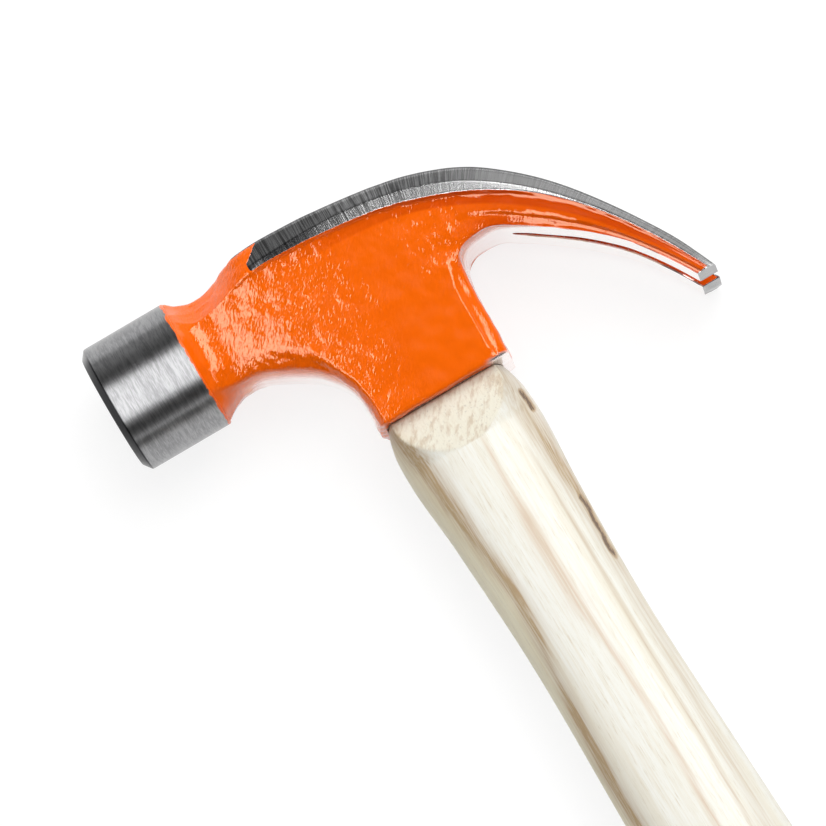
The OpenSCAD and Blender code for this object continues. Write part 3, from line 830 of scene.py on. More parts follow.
def above_crown():
    """What is trimmed off the tenon's top, which follows the crown a little below it."""
    wide = EYE_W_MM
    places = np.linspace(EYE_X_MM - EYE_LEN_MM, EYE_X_MM + EYE_LEN_MM, 9)
    low = [(x, crown_y(x) - TENON_RECESS_MM) for x in places]
    top = CROWN_MM + TRIM_HEIGHT_MM
    loop = low + [(low[-1][0], top), (low[0][0], top)]
    return block("above", [[(x, y, -wide) for x, y in loop], [(x, y, wide) for x, y in loop]])


def wedge_loop(size, c):
    """The four corners of a slit's section about c, thick at the crown and thin at its end."""
    thick, tip, depth = size
    half_top = thick / 2 + (thick - tip) / depth * OVERRUN_MM
    low, high = CROWN_MM - depth, CROWN_MM + 2 * OVERRUN_MM
    return [(c - tip / 2, low), (c + tip / 2, low), (c + half_top, high), (c - half_top, high)]


def kerf_cutter():
    """The saw kerf along the tenon."""
    reach = EYE_LEN_MM / 2 + OVERRUN_MM
    loop = wedge_loop(KERF_MM, 0)
    return block("kerf", [[(EYE_X_MM + side * reach, y, z) for z, y in loop] for side in (-1, 1)])


def steel_cutter(side):
    """The slit that one steel wedge fills."""
    half = STEEL_SLOT_W_MM / 2
    loop = wedge_loop(STEEL_SLOT_MM, EYE_X_MM + side * STEEL_GAP_MM / 2)
    return block("slit", [[(x, y, z) for x, y in loop] for z in (-half, half)])


# The wood's streaks as the photograph's pixels: v, u, half width and strength down each streak.
LEFT_STREAK = ((-150, 226, 9, 0.8), (-190, 233, 10, 1.0), (-215, 238, 12, 0.8), (-290, 244, 9, 0.80),
               (-361, 252, 8, 0.85), (-400, 250, 9, 0.6), (-450, 245, 8, 0.35), (-500, 242, 7, 0.9),
               (-560, 240, 7, 0.95), (-640, 242, 8, 0.7), (-760, 247, 8, 0.8), (-900, 244, 9, 0.6),
               (-1160, 238, 8, 0.8))
MIDDLE_STREAK = ((-190, 302, 2, 0.0), (-215, 300, 2, 0.45), (-265, 297, 5, 0.4), (-300, 297, 9, 0.6),
                 (-400, 299, 10, 0.5), (-440, 303, 5, 0.45), (-535, 309, 3.5, 0.45), (-700, 306, 5, 0.5),
                 (-900, 312, 4, 0.3), (-1160, 320, 5, 0.4))
RIGHT_SMUDGE = ((-150, 349, 9, 0.4), (-205, 350, 10, 0.6), (-280, 353, 9, 0.8), (-330, 354, 7, 0.6),
                (-400, 352, 6, 0.3), (-600, 350, 6, 0.3), (-800, 346, 8, 0.35), (-1160, 350, 7, 0.3))
FINE_STREAK = ((-220, 334, 1.5, 0.0), (-290, 335, 2, 0.4), (-540, 337, 2, 0.45), (-760, 334, 2, 0.5),
               (-1160, 331, 2, 0.4))
GREEN_SIDE = ((-160, 222), (-215, 231), (-290, 241), (-361, 246), (-450, 240), (-560, 236), (-1160, 234))
CRACKS = ((-181, -214, 357.5, 3.2, 1.2), (-246, -280, 355.0, 2.2, 0.6), (-300, -380, 355.0, 2.8, 1.3),
          (-690, -722, 349.0, 1.8, 0.5))
CRACK_MM = 0.25
LEAST_CRACK = 0.05
# Where the camera sees a place down the photograph: shares of its v and height, and a shift.
LOOK_V, LOOK_W, LOOK_SHIFT = 0.987, 0.16, 1.3
# The left streak's shift, and the darker cores' strength and shares of the streaks' widths.
LEFT_SHIFT = 2
CORE = 0.6
LEFT_CORE = 0.35
MIDDLE_CORE = 0.4
# The handle's back has the same figure, turned over, shifted in u and stretched and shifted in v.
BACK_U = 6
BACK_V = (1.13, 40)
# The green side's soft edge, the sawn flats' edge, the cracks' ends and their wandering, all in pixels.
GREEN_EDGE = 8
FLAT_EDGE = (-0.95, 0.5)
CRACK_END = 6
CRACK_WANDER = (2.5, 22.0)
# The painted shade at the eye's mouth, a dark line on the wood where it meets the head: strength and half
# width.
# Where the sawn ends start, and how far from there the butt's takes to set in.
MOUTH = (1.3, 1.2)
TENON_END_V = 45
BUTT_END_MM = 0.625
BUTT_FADE_MM = 0.5


def seen(points):
    """Where points lie in the turned photograph, and how far they are above the middle plane."""
    u = FACE_U + (points[:, 0] - head_lo[0]) / PX
    w = (points[:, 2] - AXIS_Z) / PX
    return u, LOOK_V * (points[:, 1] - AXIS_Y) / PX + LOOK_W * w + LOOK_SHIFT, w


def streak(table, u, v, core=None):
    """A streak's strength at the places (u, v), with a core of a share of its width if asked."""
    rows = np.array(table[::-1])
    middle, half, strength = (np.interp(v, rows[:, 0], rows[:, k]) for k in (1, 2, 3))
    return strength * (hump(u, middle, half) + (CORE * hump(u, middle, core * half) if core else 0))


def wood_fields(obj):
    """The fields that the wood's material reads, and shallow dents along the cracks."""
    mesh = obj.data
    points = coords(mesh)
    normals = read(mesh.vertex_normals, "vector", 3)
    up = (points[:, 1] - AXIS_Y) / PX
    u, v, w = seen(points)
    depth = -EYE_DROP_MM * PX_PER_MM - up
    axis = FACE_U + EYE_X_MM * PX_PER_MM + depth * math.tan(HANDLE_LEAN)
    u = np.where(w < 0, 2 * axis - u + BACK_U, u)
    v = np.where(w < 0, v * BACK_V[0] + BACK_V[1], v)
    rows = np.array(GREEN_SIDE[::-1])
    # painted shade: a dark line on the wood where it meets the head, carried in the cracks' field
    crack_and_mouth_shade = MOUTH[0] * hump(depth, 0, MOUTH[1])
    for top, end, middle, half, strength in CRACKS:
        along_it = rise(np.minimum(top - v, v - end), 0, CRACK_END)
        size, length = CRACK_WANDER
        wander = middle + size * np.array([noise.noise(Vector((x / length, middle, 0.0))) for x in v])
        crack_and_mouth_shade = np.maximum(crack_and_mouth_shade, strength * along_it * hump(u, wander, half))
    butt = rise(points[:, 1], handle_lo[1] + BUTT_END_MM * MM, -BUTT_FADE_MM * MM)
    flat_at = EYE_W_MM / 2 * PX_PER_MM + np.maximum(0, depth) * math.tan(FLAT_SLOPE)
    brown = streak(LEFT_STREAK, u + LEFT_SHIFT, v, LEFT_CORE)
    for name, values in {
        "brown": brown + streak(RIGHT_SMUDGE, u, v) + streak(FINE_STREAK, u, v),
        "pink": streak(MIDDLE_STREAK, u, v, MIDDLE_CORE),
        "green": rise(np.interp(v, rows[:, 0], rows[:, 1]) - u, -GREEN_EDGE / 2, GREEN_EDGE),
        "crack_and_mouth_shade": crack_and_mouth_shade,
        "flat": rise(np.abs(w) - flat_at, *FLAT_EDGE) * (depth < SHOULDER_LEN_MM * PX_PER_MM),
        "end": np.maximum(rise(up, TENON_END_V, 1), butt),
    }.items():
        put_field(mesh, name, values)
    dent = np.where(crack_and_mouth_shade > LEAST_CRACK, crack_and_mouth_shade, 0) * CRACK_MM * MM
    set_coords(mesh, points - normals * dent[:, None])


def handle():
    """The wooden handle, trimmed under the crown and slit for its wedges."""
    obj = handle_blank()
    for cutter in (above_crown(), kerf_cutter(), steel_cutter(-1), steel_cutter(1)):
        cut(obj, cutter)
    wood_fields(obj)
    shade(obj, SHARP_ANGLE)
    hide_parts("handle")
    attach(obj, "root")
    return obj


class Nodes:
    """Short forms for the nodes of one material, or of the world. Lengths are in millimetres."""

    def __init__(self, name, world=None):
        self.material = world or bpy.data.materials.new(name)
        self.material.use_nodes = True
        self.tree = self.material.node_tree
        self.shader = self.tree.nodes["Background" if world else "Principled BSDF"]
        self.place = self.add("ShaderNodeTexCoord").outputs["Generated" if world else "Object"]

    def add(self, kind, *values, **settings):
        """A node with the settings, and its first inputs fed with the values."""
        node = self.tree.nodes.new(kind)
        for key, value in settings.items():
            setattr(node, key, value)
        for socket, value in zip(node.inputs, values):
            self.feed(socket, value)
        return node

    def feed(self, socket, value):
        if isinstance(value, bpy.types.NodeSocket):
            self.tree.links.new(value, socket)
        elif isinstance(value, tuple) and len(value) == 3 and socket.type == "RGBA":
            socket.default_value = (*value, 1)
        else:
            socket.default_value = value

    def feed_all(self, node, **values):
        """Sets or links a node's inputs; an underscore in a name stands for a space."""
        for key, value in values.items():
            self.feed(node.inputs[key.replace("_", " ")], value)
        return node

    def set(self, **values):
        self.feed_all(self.shader, **values)

    def math(self, operation, *values, clamp=False):
        return self.add("ShaderNodeMath", *values, operation=operation, use_clamp=clamp).outputs[0]

    def times(self, a, b, clamp=False):
        return self.math("MULTIPLY", a, b, clamp=clamp)

    def plus(self, a, b, clamp=False):
        return self.math("ADD", a, b, clamp=clamp)

    def combine(self, x, y, z=0.0):
        return self.add("ShaderNodeCombineXYZ", x, y, z).outputs[0]

    def grey(self, value):
        return self.combine(value, value, value)

    def axes(self):
        return self.add("ShaderNodeSeparateXYZ", self.place).outputs

    def field(self, name):
        return self.add("ShaderNodeAttribute", attribute_name=name).outputs["Fac"]

    def noise(self, vector, detail=2.0, roughness=0.5):
        node = self.add("ShaderNodeTexNoise", vector)
        return self.feed_all(node, Scale=1.0, Detail=detail, Roughness=roughness).outputs["Fac"]

    def grain(self, sizes, detail=2.0, roughness=0.5, turn=0.0):
        """Noise in steps of the three sizes, after a turn about Z in degrees."""
        place = self.place
        if turn:
            node = self.add("ShaderNodeVectorRotate", place, rotation_type="Z_AXIS")
            place = self.feed_all(node, Angle=math.radians(turn)).outputs[0]
        counts = tuple(1 / (size * MM) for size in sizes)
        place = self.add("ShaderNodeVectorMath", place, counts, operation="MULTIPLY").outputs[0]
        return self.noise(place, detail, roughness)

    def step(self, value, low, high, to_low=0.0, to_high=1.0):
        """The value mapped smoothly from one range to another, held at its ends."""
        ends = (low, high, to_low, to_high)
        return self.add("ShaderNodeMapRange", value, *ends, interpolation_type="SMOOTHSTEP").outputs[0]

    def mix(self, share, a, b, blend="MIX"):
        """A colour between two others."""
        node = self.add("ShaderNodeMix", share, data_type="RGBA", blend_type=blend)
        self.feed(node.inputs[6], a)
        self.feed(node.inputs[7], b)
        return node.outputs[2]

    def over(self, colour, top, value, low, high, strength=1.0):
        """A colour with another laid over it where a value is high."""
        return self.mix(self.step(value, low, high, 0.0, strength), colour, top)

    def bump(self, height, distance, **normal):
        """A bump of a height from 0 to 1, over the distance in millimetres."""
        node = self.add("ShaderNodeBump")
        return self.feed_all(node, Distance=distance * MM, Height=height, **normal).outputs[0]


ORANGE = (0.96, 0.137, 0.001)
# A deeper orange, for the paint's stains and for painted shade.
DEEP_ORANGE = (0.62, 0.055, 0.001)
CHIP_RED = (0.30, 0.05, 0.02)
# Pale for chipped paint, and for the painted reflection of the white table on the undersides.
PALE_CHIPS_AND_TABLE_REFLECTION = (0.97, 0.95, 0.94)
# The rail's painted reflection runs between these two steels.
RAIL_DARK_REFLECTION = (0.08, 0.08, 0.083)
RAIL_BRIGHT_REFLECTION = (0.85, 0.85, 0.85)
STEEL = (0.60, 0.60, 0.61)
# The head's highlights: on the paint, on the pale undersides and on the ground rail.
WARM_LIGHT = (1.0, 0.82, 0.60)
WHITE_LIGHT = (1.0, 1.0, 1.0)
DULL_EDGE = (0.35, 0.35, 0.35)
# Noise along the rail: counts per pixel along and across it, detail and roughness.
BAND_EDGE_NOISE = (0.35, 0.05, 3, 0.5)
LINE_NOISE = (0.85, 0.02, 1, 0.6)
PATCH_NOISE = (0.12, 0.02, 2, 0.5)
# Noise in the paint: steps in millimetres, detail, roughness and turn.
STAIN_NOISE = ((9, 9, 9), 4, 0.6)
GRIT_NOISE = ((0.35, 0.35, 0.35), 3, 0.7)
FLECK_NOISE = ((0.5, 1.3, 0.8), 1, 0.6, 45)
# How far the band's edge wanders in pixels, and the heights of paint and ground lines in millimetres.
BAND_EDGE_PX = 1.6
PAINT_MM = 0.10
LINE_MM = 0.03


def head_material(name, highlight):
    """Orange paint over the forging and ground steel on the rail, with highlights of a colour."""
    n = Nodes(name)
    u, side, wall, painted_reflection, pale = (n.field(key) for key in ("u", "side", "wall", "painted_reflection", "pale"))
    lane, across = n.field("lane"), n.field("across")

    def rail_noise(per_lane, per_across, *kind):
        return n.noise(n.combine(n.times(lane, per_lane), n.times(across, per_across)), *kind)

    edge = n.times(n.plus(rail_noise(*BAND_EDGE_NOISE), -0.5), BAND_EDGE_PX)
    ground = n.step(n.plus(n.field("ground"), edge), -0.25, 0.25)

    # the paint: deeper orange as painted shade in the fillet under the rail, low on the claws' sides and in
    # the slot, chipped along its edge, and pale on the undersides as a painted reflection of the table
    grit = n.grain(*GRIT_NOISE)
    paint = n.over(ORANGE, DEEP_ORANGE, n.grain(*STAIN_NOISE), 0.4, 0.75, 0.14)
    # painted shade in the fillet under the rail
    fillet = n.times(n.step(n.field("fillet"), 0.0, 0.25), n.step(u, 150, 240))
    paint = n.mix(n.times(fillet, n.step(u, 210, 440, 0.25, 0.75)), paint, DEEP_ORANGE)
    # painted shade low on the claws' sides and on the slot's walls
    claw = n.times(n.step(side, 0.5, 0.8, 0.35, 0.7), n.step(u, 360, 430))
    paint = n.over(n.mix(claw, paint, DEEP_ORANGE), DEEP_ORANGE, wall, 0.2, 0.9, 0.6)
    chips = n.times(n.step(wall, 1.90, 1.99), n.step(grit, 0.42, 0.6))
    paint = n.mix(chips, paint, n.over(CHIP_RED, PALE_CHIPS_AND_TABLE_REFLECTION, grit, 0.55, 0.7))
    # painted reflection: the undersides take the white table's pale colour, and below are made metallic as
    # well
    paint = n.mix(pale, paint, PALE_CHIPS_AND_TABLE_REFLECTION)

    # the ground steel, painted dark and bright as a reflection, with lines across the rail that are fainter
    # on the claws and where it is bright
    lines, patch = rail_noise(*LINE_NOISE), rail_noise(*PATCH_NOISE)
    calm = n.step(painted_reflection, 0.5, 0.85, 1.0, 0.35)
    shading = n.plus(n.step(lines, 0.35, 0.65, -0.5, 0.45), n.step(patch, 0.3, 0.7, -0.1, 0.1))
    shading = n.times(n.times(shading, n.step(u, 330, 450, 1.0, 0.4)), calm)
    metal = n.mix(painted_reflection, RAIL_DARK_REFLECTION, RAIL_BRIGHT_REFLECTION)
    metal = n.mix(1.0, metal, n.grey(n.plus(shading, 1.0)), blend="MULTIPLY")

    n.set(Base_Color=n.mix(ground, paint, metal), Metallic=n.math("MAXIMUM", ground, pale))
    n.set(Roughness=n.step(ground, 0, 1, 0.10, 0.26), IOR=1.6, Specular_Tint=highlight)
    flecks = n.times(n.grain(*FLECK_NOISE), n.field("flecks"))
    painted = n.times(n.math("SUBTRACT", 1.0, ground), n.plus(flecks, 0.7))
    normal = n.bump(painted, PAINT_MM)
    n.set(Normal=n.bump(n.times(n.times(ground, calm), lines), LINE_MM, Normal=normal))
    return n.material


# Materials that take over a face: the number, the field, and the field's least value there.
FACE_KINDS = ((1, "pale", 0.45), (2, "ground", 0.3))
TIP_ENDS_PX = 188


def bare_faces(mesh):
    """Each face's material: 0 for paint, 1 for pale undersides and the tips' ends, 2 for ground steel."""
    bare = np.zeros(len(mesh.vertices))
    for kind, name, least in FACE_KINDS:
        bare = np.maximum(bare, kind * (read(mesh.attributes[name].data, "value") > least))
    corners = read(mesh.loops, "vertex_index", dtype=np.int32)
    starts = read(mesh.polygons, "loop_start", dtype=np.int32)
    kinds = np.maximum.reduceat(bare[corners], starts)
    tips = read(mesh.polygons, "center", 3)[:, 1] < AXIS_Y - TIP_ENDS_PX * PX
    return np.where(tips, 1, kinds).astype(np.int32)


DARK_POLL = (0.24, 0.24, 0.245)
BRIGHT_POLL = (0.37, 0.37, 0.375)
# The chamfer's painted dark reflection.
CHAMFER_PAINTED_REFLECTION = (0.035, 0.035, 0.037)
# The poll's lines, fine and broad, and the paint's ragged edge: steps in millimetres, detail and roughness.
FINE_LINES = ((0.22, 1.8, 1.8), 2, 0.6)
BROAD_LINES = ((0.8, 9, 9), 1, 0.6)
PAINT_EDGE = ((2.5, 2.5, 2.5), 3, 0.6)
# The chamfer, painted dark as a reflection, in pixels behind the face, and the heights between which it gets
# lighter.
CHAMFER_START_PX = (0.1, 0.4)
CHAMFER_END_PX = (7.2, 8.4)
CHAMFER_LIGHTER_V = (44, 58)
# In millimetres: the wandering of the paint's edge on the poll's rear, the lines' height, the paint's step.
WANDER_MM = 1.6
POLL_LINE_MM = 0.014
PAINT_STEP_MM = (0.26, 0.34)


def poll_material():
    """Ground steel with lines round the poll, a chamfer painted dark as a reflection, and the ragged edge of
    the neck's paint at its rear.
    """
    n = Nodes("ground_poll_steel")
    lines = n.plus(n.times(n.grain(*FINE_LINES), 0.6), n.times(n.grain(*BROAD_LINES), 0.4))
    x, y, z = n.axes()

    def behind_face(places, *ends):
        return n.step(x, *(head_lo[0] + p * PX for p in places), *ends)

    # painted reflection: the chamfer is painted dark, less so towards its top
    rim = n.times(behind_face(CHAMFER_END_PX, 1.0, 0.0), behind_face(CHAMFER_START_PX))
    rim = n.times(rim, n.step(y, *(AXIS_Y + v * PX for v in CHAMFER_LIGHTER_V), 1.0, 0.25))
    metal = n.mix(rim, n.over(DARK_POLL, BRIGHT_POLL, lines, 0.35, 0.65), CHAMFER_PAINTED_REFLECTION)
    rear = head_lo[0] + (POLL_REAR_U - FACE_U) * PX
    edge = n.plus(n.plus(x, -rear), n.times(n.grain(*PAINT_EDGE), WANDER_MM * MM))
    paint = n.step(edge, *(p * MM for p in PAINT_STEP_MM))
    n.set(Base_Color=n.mix(paint, metal, ORANGE), Metallic=n.step(paint, 0, 1, 1.0, 0.0))
    n.set(Roughness=n.step(lines, 0.3, 0.7, 0.34, 0.42), IOR=1.5)
    n.set(Anisotropic=0.85, Anisotropic_Rotation=0.25)
    n.set(Tangent=n.add("ShaderNodeTangent", direction_type="RADIAL", axis="X").outputs[0])
    n.set(Normal=n.bump(lines, POLL_LINE_MM))
    return n.material


PALE_WOOD = (0.90, 0.89, 0.82)
WARM_WOOD = (0.80, 0.74, 0.60)
BROWN_WOOD = (0.50, 0.35, 0.19)
GREEN_WOOD = (0.90, 0.83, 0.59)
PINK_WOOD = (0.70, 0.56, 0.42)
# Dark brown for specks, cracks, and the painted shade where the wood meets the head.
DARK_WOOD_AND_MOUTH_SHADE = (0.17, 0.105, 0.065)
FLAT_WOOD = (0.78, 0.74, 0.60)
END_WOOD = (0.70, 0.60, 0.44)
END_RING = (0.47, 0.34, 0.20)
END_PORE = (0.30, 0.20, 0.12)
# Noise along the grain: steps in millimetres, detail and roughness.
BROAD_GRAIN = ((2.6, 90, 2.6), 3, 0.55)
GRAIN = ((0.55, 34, 0.55), 3, 0.6)
PORES = ((0.22, 3.2, 0.22), 2, 0.6)
FIBRE = ((0.32, 6.0, 0.32), 3, 0.75)
CRACK_EDGE = ((0.35, 1.8, 0.35), 3, 0.7)
# Noise on the sawn flats, the wobble of the ends' growth rings, and the height of all the grain's relief.
SPECK = ((0.45, 0.6, 0.45), 2, 0.6)
SMEAR = ((1.2, 3.5, 1.2), 3, 0.6, 38)
RING_WOBBLE = ((7, 30, 7), 2)
WOOD_MM = 0.05
# The tree's heart lies so far beside the handle's axis and under the table. Its rings' spacing and wobble.
HEART_SIDE_MM = 24
HEART_DOWN_MM = 45
RING_MM = 1.9
RING_SWAY = 8.0


def end_grain(n, pores):
    """Growth rings across the wood, as seen on its sawn ends."""
    x, y, z = n.axes()
    across = n.plus(x, -head_lo[0] - (EYE_X_MM + HEART_SIDE_MM) * MM)
    down = n.plus(z, HEART_DOWN_MM * MM)
    far = n.math("SQRT", n.plus(n.times(across, across), n.times(down, down)))
    turns = n.plus(n.times(far, 2 * math.pi / (RING_MM * MM)), n.times(n.grain(*RING_WOBBLE), RING_SWAY))
    rings = n.step(n.math("SINE", turns), -0.3, 1.0, 0.15, 0.85)
    return n.over(n.mix(rings, END_WOOD, END_RING), END_PORE, pores, 0.5, 0.75, 0.6)


def wood_material():
    """Pale straight-grained wood with brown streaks, a greener side, fine pores, a few dark cracks, and
    painted shade where it meets the head.
    """
    n = Nodes("pale_ash_wood")
    kinds = (BROAD_GRAIN, GRAIN, PORES, FIBRE, CRACK_EDGE)
    broad, grain, pores, fibre, ragged = (n.grain(*k, -math.degrees(HANDLE_LEAN)) for k in kinds)
    speck, smear = n.grain(*SPECK), n.grain(*SMEAR)
    flat, crack_and_mouth_shade = n.field("flat"), n.field("crack_and_mouth_shade")

    colour = n.over(PALE_WOOD, WARM_WOOD, broad, 0.42, 0.72, 0.6)
    colour = n.over(colour, WARM_WOOD, grain, 0.45, 0.72, 0.5)
    colour = n.mix(n.times(n.field("green"), 0.75), colour, GREEN_WOOD)
    rough_edge = n.step(grain, 0.3, 0.7, 0.6, 1.5)
    colour = n.mix(n.times(n.field("brown"), rough_edge, clamp=True), colour, BROWN_WOOD)
    colour = n.mix(n.times(n.field("pink"), rough_edge, clamp=True), colour, PINK_WOOD)
    sawn = n.over(FLAT_WOOD, BROWN_WOOD, smear, 0.46, 0.66, 0.7)
    sawn = n.over(sawn, DARK_WOOD_AND_MOUTH_SHADE, speck, 0.58, 0.72, 0.35)
    colour = n.mix(n.times(flat, 0.8), colour, sawn)
    colour = n.over(colour, BROWN_WOOD, pores, 0.60, 0.78, 0.22)
    colour = n.over(colour, FLAT_WOOD, fibre, 0.46, 0.66, 0.40)
    colour = n.over(colour, BROWN_WOOD, fibre, 0.58, 0.74, 0.30)
    # brown halos and dark cores along the cracks and along the painted shade where the wood meets the head
    halo = n.math("SUBTRACT", crack_and_mouth_shade, n.times(ragged, 0.6))
    colour = n.over(colour, BROWN_WOOD, halo, -0.1, 0.45, 0.85)
    colour = n.over(colour, DARK_WOOD_AND_MOUTH_SHADE, n.times(crack_and_mouth_shade, ragged), 0.40, 0.54, 0.95)
    colour = n.mix(n.field("end"), colour, end_grain(n, pores))
    n.set(Base_Color=colour, Roughness=n.step(grain, 0.3, 0.7, 0.42, 0.58), IOR=1.45)
    height = n.plus(n.times(grain, 0.5), n.times(pores, -0.25))
    height = n.plus(height, n.times(n.times(flat, smear), 1.5))
    n.set(Normal=n.bump(height, WOOD_MM))
    return n.material


SCRATCHED_STEEL = (0.42, 0.42, 0.43)
DULL_STEEL = (0.25, 0.22, 0.20)
SCRATCHES = ((0.12, 3.0, 2.5), 3, 0.7)
DULL_PATCHES = ((1.6, 1.6, 1.6), 3, 0.6)
SCRATCH_MM = 0.01


def steel_material():
    """Stamped steel with fine scratches across it and dull patches."""
    n = Nodes("stamped_steel")
    scratches, dull = n.grain(*SCRATCHES), n.grain(*DULL_PATCHES)
    metal = n.over(SCRATCHED_STEEL, STEEL, scratches, 0.3, 0.7)
    n.set(Base_Color=n.over(metal, DULL_STEEL, dull, 0.45, 0.75, 0.6))
    n.set(Metallic=n.step(dull, 0.5, 0.8, 1.0, 0.75), Roughness=n.step(dull, 0.35, 0.7, 0.28, 0.5))
    n.set(Normal=n.bump(scratches, SCRATCH_MM))
    return n.material


DARK_WEDGE = (0.50, 0.33, 0.17)
LIGHT_WEDGE = (0.70, 0.52, 0.31)
FUZZ_WEDGE = (0.33, 0.21, 0.11)
WEDGE_GRAIN = ((0.6, 20, 0.6), 4, 0.6)
FUZZ_MM = 0.04


def wedge_material():
    """Sawn wood, with grain down the wedge and a fuzzy top."""
    n = Nodes("sawn_wedge_wood")
    grain, fuzz = n.grain(*WEDGE_GRAIN), n.grain(*GRIT_NOISE)
    colour = n.over(DARK_WEDGE, LIGHT_WEDGE, grain, 0.3, 0.7)
    n.set(Base_Color=n.over(colour, FUZZ_WEDGE, fuzz, 0.5, 0.75, 0.5))
    n.set(Roughness=n.step(fuzz, 0.3, 0.7, 0.7, 0.85), Normal=n.bump(n.plus(grain, fuzz), FUZZ_MM))
    return n.material


head_piece = head()
poll_piece = poll()
handle_piece = handle()
for finish, light in (
    ("orange_paint", WARM_LIGHT),
    ("pale_undersides", WHITE_LIGHT),
    ("ground_rail", DULL_EDGE),
):
    head_piece.data.materials.append(head_material(finish, light))
head_piece.data.polygons.foreach_set("material_index", bare_faces(head_piece.data))
poll_piece.data.materials.append(poll_material())
handle_piece.data.materials.append(wood_material())
for node, material in (
    ("wooden_wedge", wedge_material()),
    ("steel_wedge_rear", steel_material()),
    ("steel_wedge_front", steel_material()),
):
    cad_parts[node].data.materials.clear()
    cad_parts[node].data.materials.append(material)


# Camera: aim point, distance and angles
AIM_U, AIM_V = 252.1, -152.6
CAM_DISTANCE = 1.6
CAM_TILT = math.radians(9.2)
CAM_YAW = math.radians(0.6)
CAM_ROLL = math.radians(30)
VIEW_PX = 826


def camera():
    """The photograph's view: from above the hammer lying flat, a little towards its butt."""
    aim = Vector(at(AIM_U, AIM_V / math.cos(CAM_TILT)))
    back = Vector((math.sin(CAM_YAW), -math.sin(CAM_TILT), math.cos(CAM_TILT))).normalized()
    data = bpy.data.cameras.new("camera")
    data.sensor_width = 36
    data.lens = 36 * CAM_DISTANCE / (VIEW_PX * PX)
    data.clip_end = 20
    obj = bpy.data.objects.new("camera", data)
    up = Vector((math.sin(CAM_ROLL), math.cos(CAM_ROLL), 0))
    up = (up - back * up.dot(back)).normalized()
    right = up.cross(back)
    turn = Matrix((right, up, back)).transposed().to_4x4()
    turn.translation = aim + back * CAM_DISTANCE
    obj.matrix_world = turn
    bpy.context.scene.collection.objects.link(obj)
    bpy.context.scene.camera = obj


camera()


FLOOR_HALF = 3.0
FLOOR_WHITE = 0.85
SHADE_WHITE = 0.20
GLOW = 0.82


def floor():
    """A white table, drawn as white to the camera and in reflections, with the hammer's shadow kept."""
    r = FLOOR_HALF
    obj = mesh_object("floor", [(-r, -r, 0), (r, -r, 0), (r, r, 0), (-r, r, 0)], [(0, 1, 2, 3)])
    n = Nodes("white_table")
    path = n.add("ShaderNodeLightPath").outputs
    shown = n.plus(path["Is Camera Ray"], path["Is Glossy Ray"], clamp=True)
    shown = n.plus(shown, path["Is Transmission Ray"], clamp=True)
    white = n.step(shown, 0, 1, FLOOR_WHITE, SHADE_WHITE)
    n.set(Base_Color=n.grey(white), Roughness=0.9)
    n.set(Emission_Color=(1, 1, 1), Emission_Strength=n.times(shown, GLOW))
    obj.data.materials.append(n.material)


floor()

# One large lamp lights the colours. Two long boxes and a strip show in reflections only.
# The boxes' edges are angles from straight up.
LAMP_PLACE = (0.55, 0.62, 1.25)
LAMP_SIZE = 1.3
LAMP_RADIANCE = 4.2
LIGHT_HEIGHT = 1.2
BOX_NEAR = math.radians(17)
BOX_FAR = math.radians(38)
BOX_BUTT = math.radians(-34)
BOX_TOP = math.radians(31)
BOX_RADIANCE = 7.5
STRIP_RADIANCE = 2.2
AMBIENT = 0.38
STRIP_PLACE = (0, -1.4, 0.51)
STRIP_SIZE = (2.0, 0.09)
LIT_U = 250
# How grey the room is in reflections: height of the direction, from level 0 to straight up 1, and grey.
ROOM = ((0.0, 0.22), (0.12, 0.26), (0.26, 0.40), (0.45, 0.22), (0.62, 0.05), (0.77, 0.05), (0.87, 0.02))
# Towards the butt and towards the poll it dims: ends in the direction's Y and X, and the least share left.
DIM_Y = (0.0, 0.3, 0.3)
DIM_X = (-0.8, -0.3, 0.2)


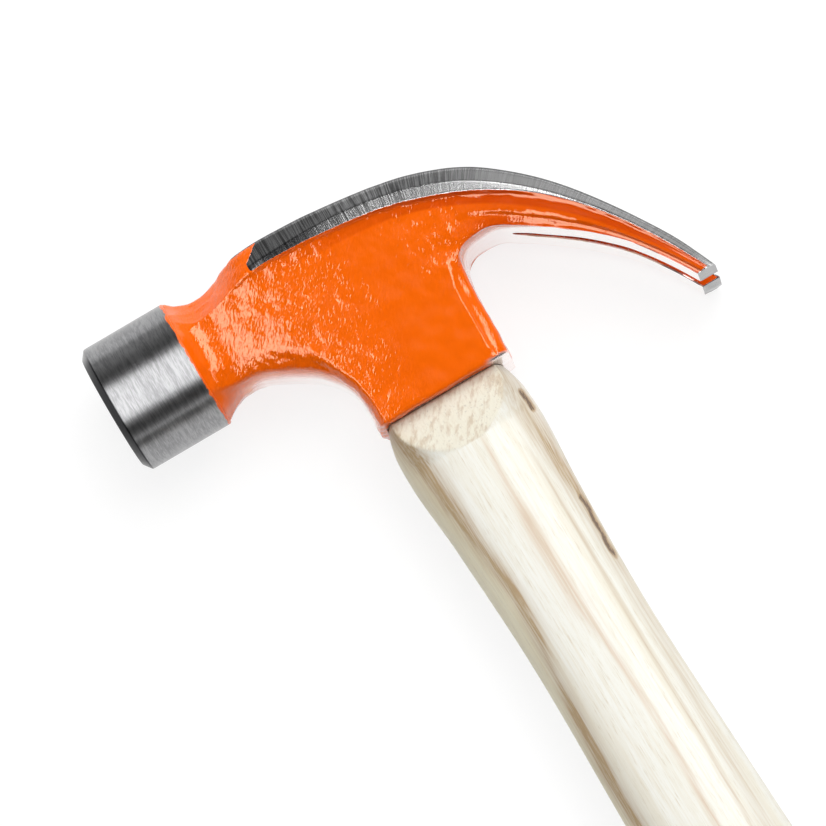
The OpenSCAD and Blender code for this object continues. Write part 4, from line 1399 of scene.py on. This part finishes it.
def lamp(name, place, aim, size, radiance, seen):
    """A rectangular light of the given radiance, seen in reflections or lighting colours only."""
    data = bpy.data.lights.new(name, "AREA")
    data.shape = "RECTANGLE"
    data.size, data.size_y = size
    data.energy = radiance * math.pi * size[0] * size[1]
    obj = bpy.data.objects.new(name, data)
    obj.location = place
    obj.rotation_euler = (Vector(aim) - Vector(place)).to_track_quat("-Z", "Y").to_euler()
    obj.visible_glossy = seen
    obj.visible_diffuse = not seen
    bpy.context.scene.collection.objects.link(obj)


def lights():
    """The lamp, the two soft boxes, and a narrow strip of light low on the butt's side."""
    centre = Vector(at(LIT_U, 0))
    place = centre + Vector(LAMP_PLACE)
    lamp("key", place, centre, (LAMP_SIZE, LAMP_SIZE), LAMP_RADIANCE, False)
    h = LIGHT_HEIGHT
    near, far = h * math.tan(BOX_NEAR), h * math.tan(BOX_FAR)
    low, high = h * math.tan(BOX_BUTT), h * math.tan(BOX_TOP)
    for side in (-1, 1):
        place = centre + Vector((side * (near + far) / 2, (low + high) / 2, h))
        lamp("soft_box", place, place - Vector((0, 0, 1)), (far - near, high - low), BOX_RADIANCE, True)
    lamp("strip", centre + Vector(STRIP_PLACE), centre, STRIP_SIZE, STRIP_RADIANCE, True)


lights()


def studio():
    """The room: even for diffuse light, and in reflections dark overhead with a grey horizon."""
    world = bpy.data.worlds.new("world")
    bpy.context.scene.world = world
    n = Nodes("world", world)
    x, y, z = n.axes()
    path = n.add("ShaderNodeLightPath").outputs
    table = n.add("ShaderNodeValToRGB", z)
    while len(table.color_ramp.elements) < len(ROOM):
        table.color_ramp.elements.new(0.5)
    for element, (place, grey) in zip(table.color_ramp.elements, ROOM):
        element.position = place
        element.color = (grey, grey, grey, 1)
    side = n.times(n.step(y, *DIM_Y), n.step(x, *DIM_X))
    mirrored = n.times(path["Is Glossy Ray"], n.times(table.outputs[0], side))
    even = n.times(n.math("SUBTRACT", 1.0, path["Is Glossy Ray"]), AMBIENT)
    n.set(Strength=n.math("MAXIMUM", n.plus(mirrored, even), path["Is Camera Ray"]), Color=(1, 1, 1))


studio()
bpy.context.scene.view_settings.view_transform = "Standard"
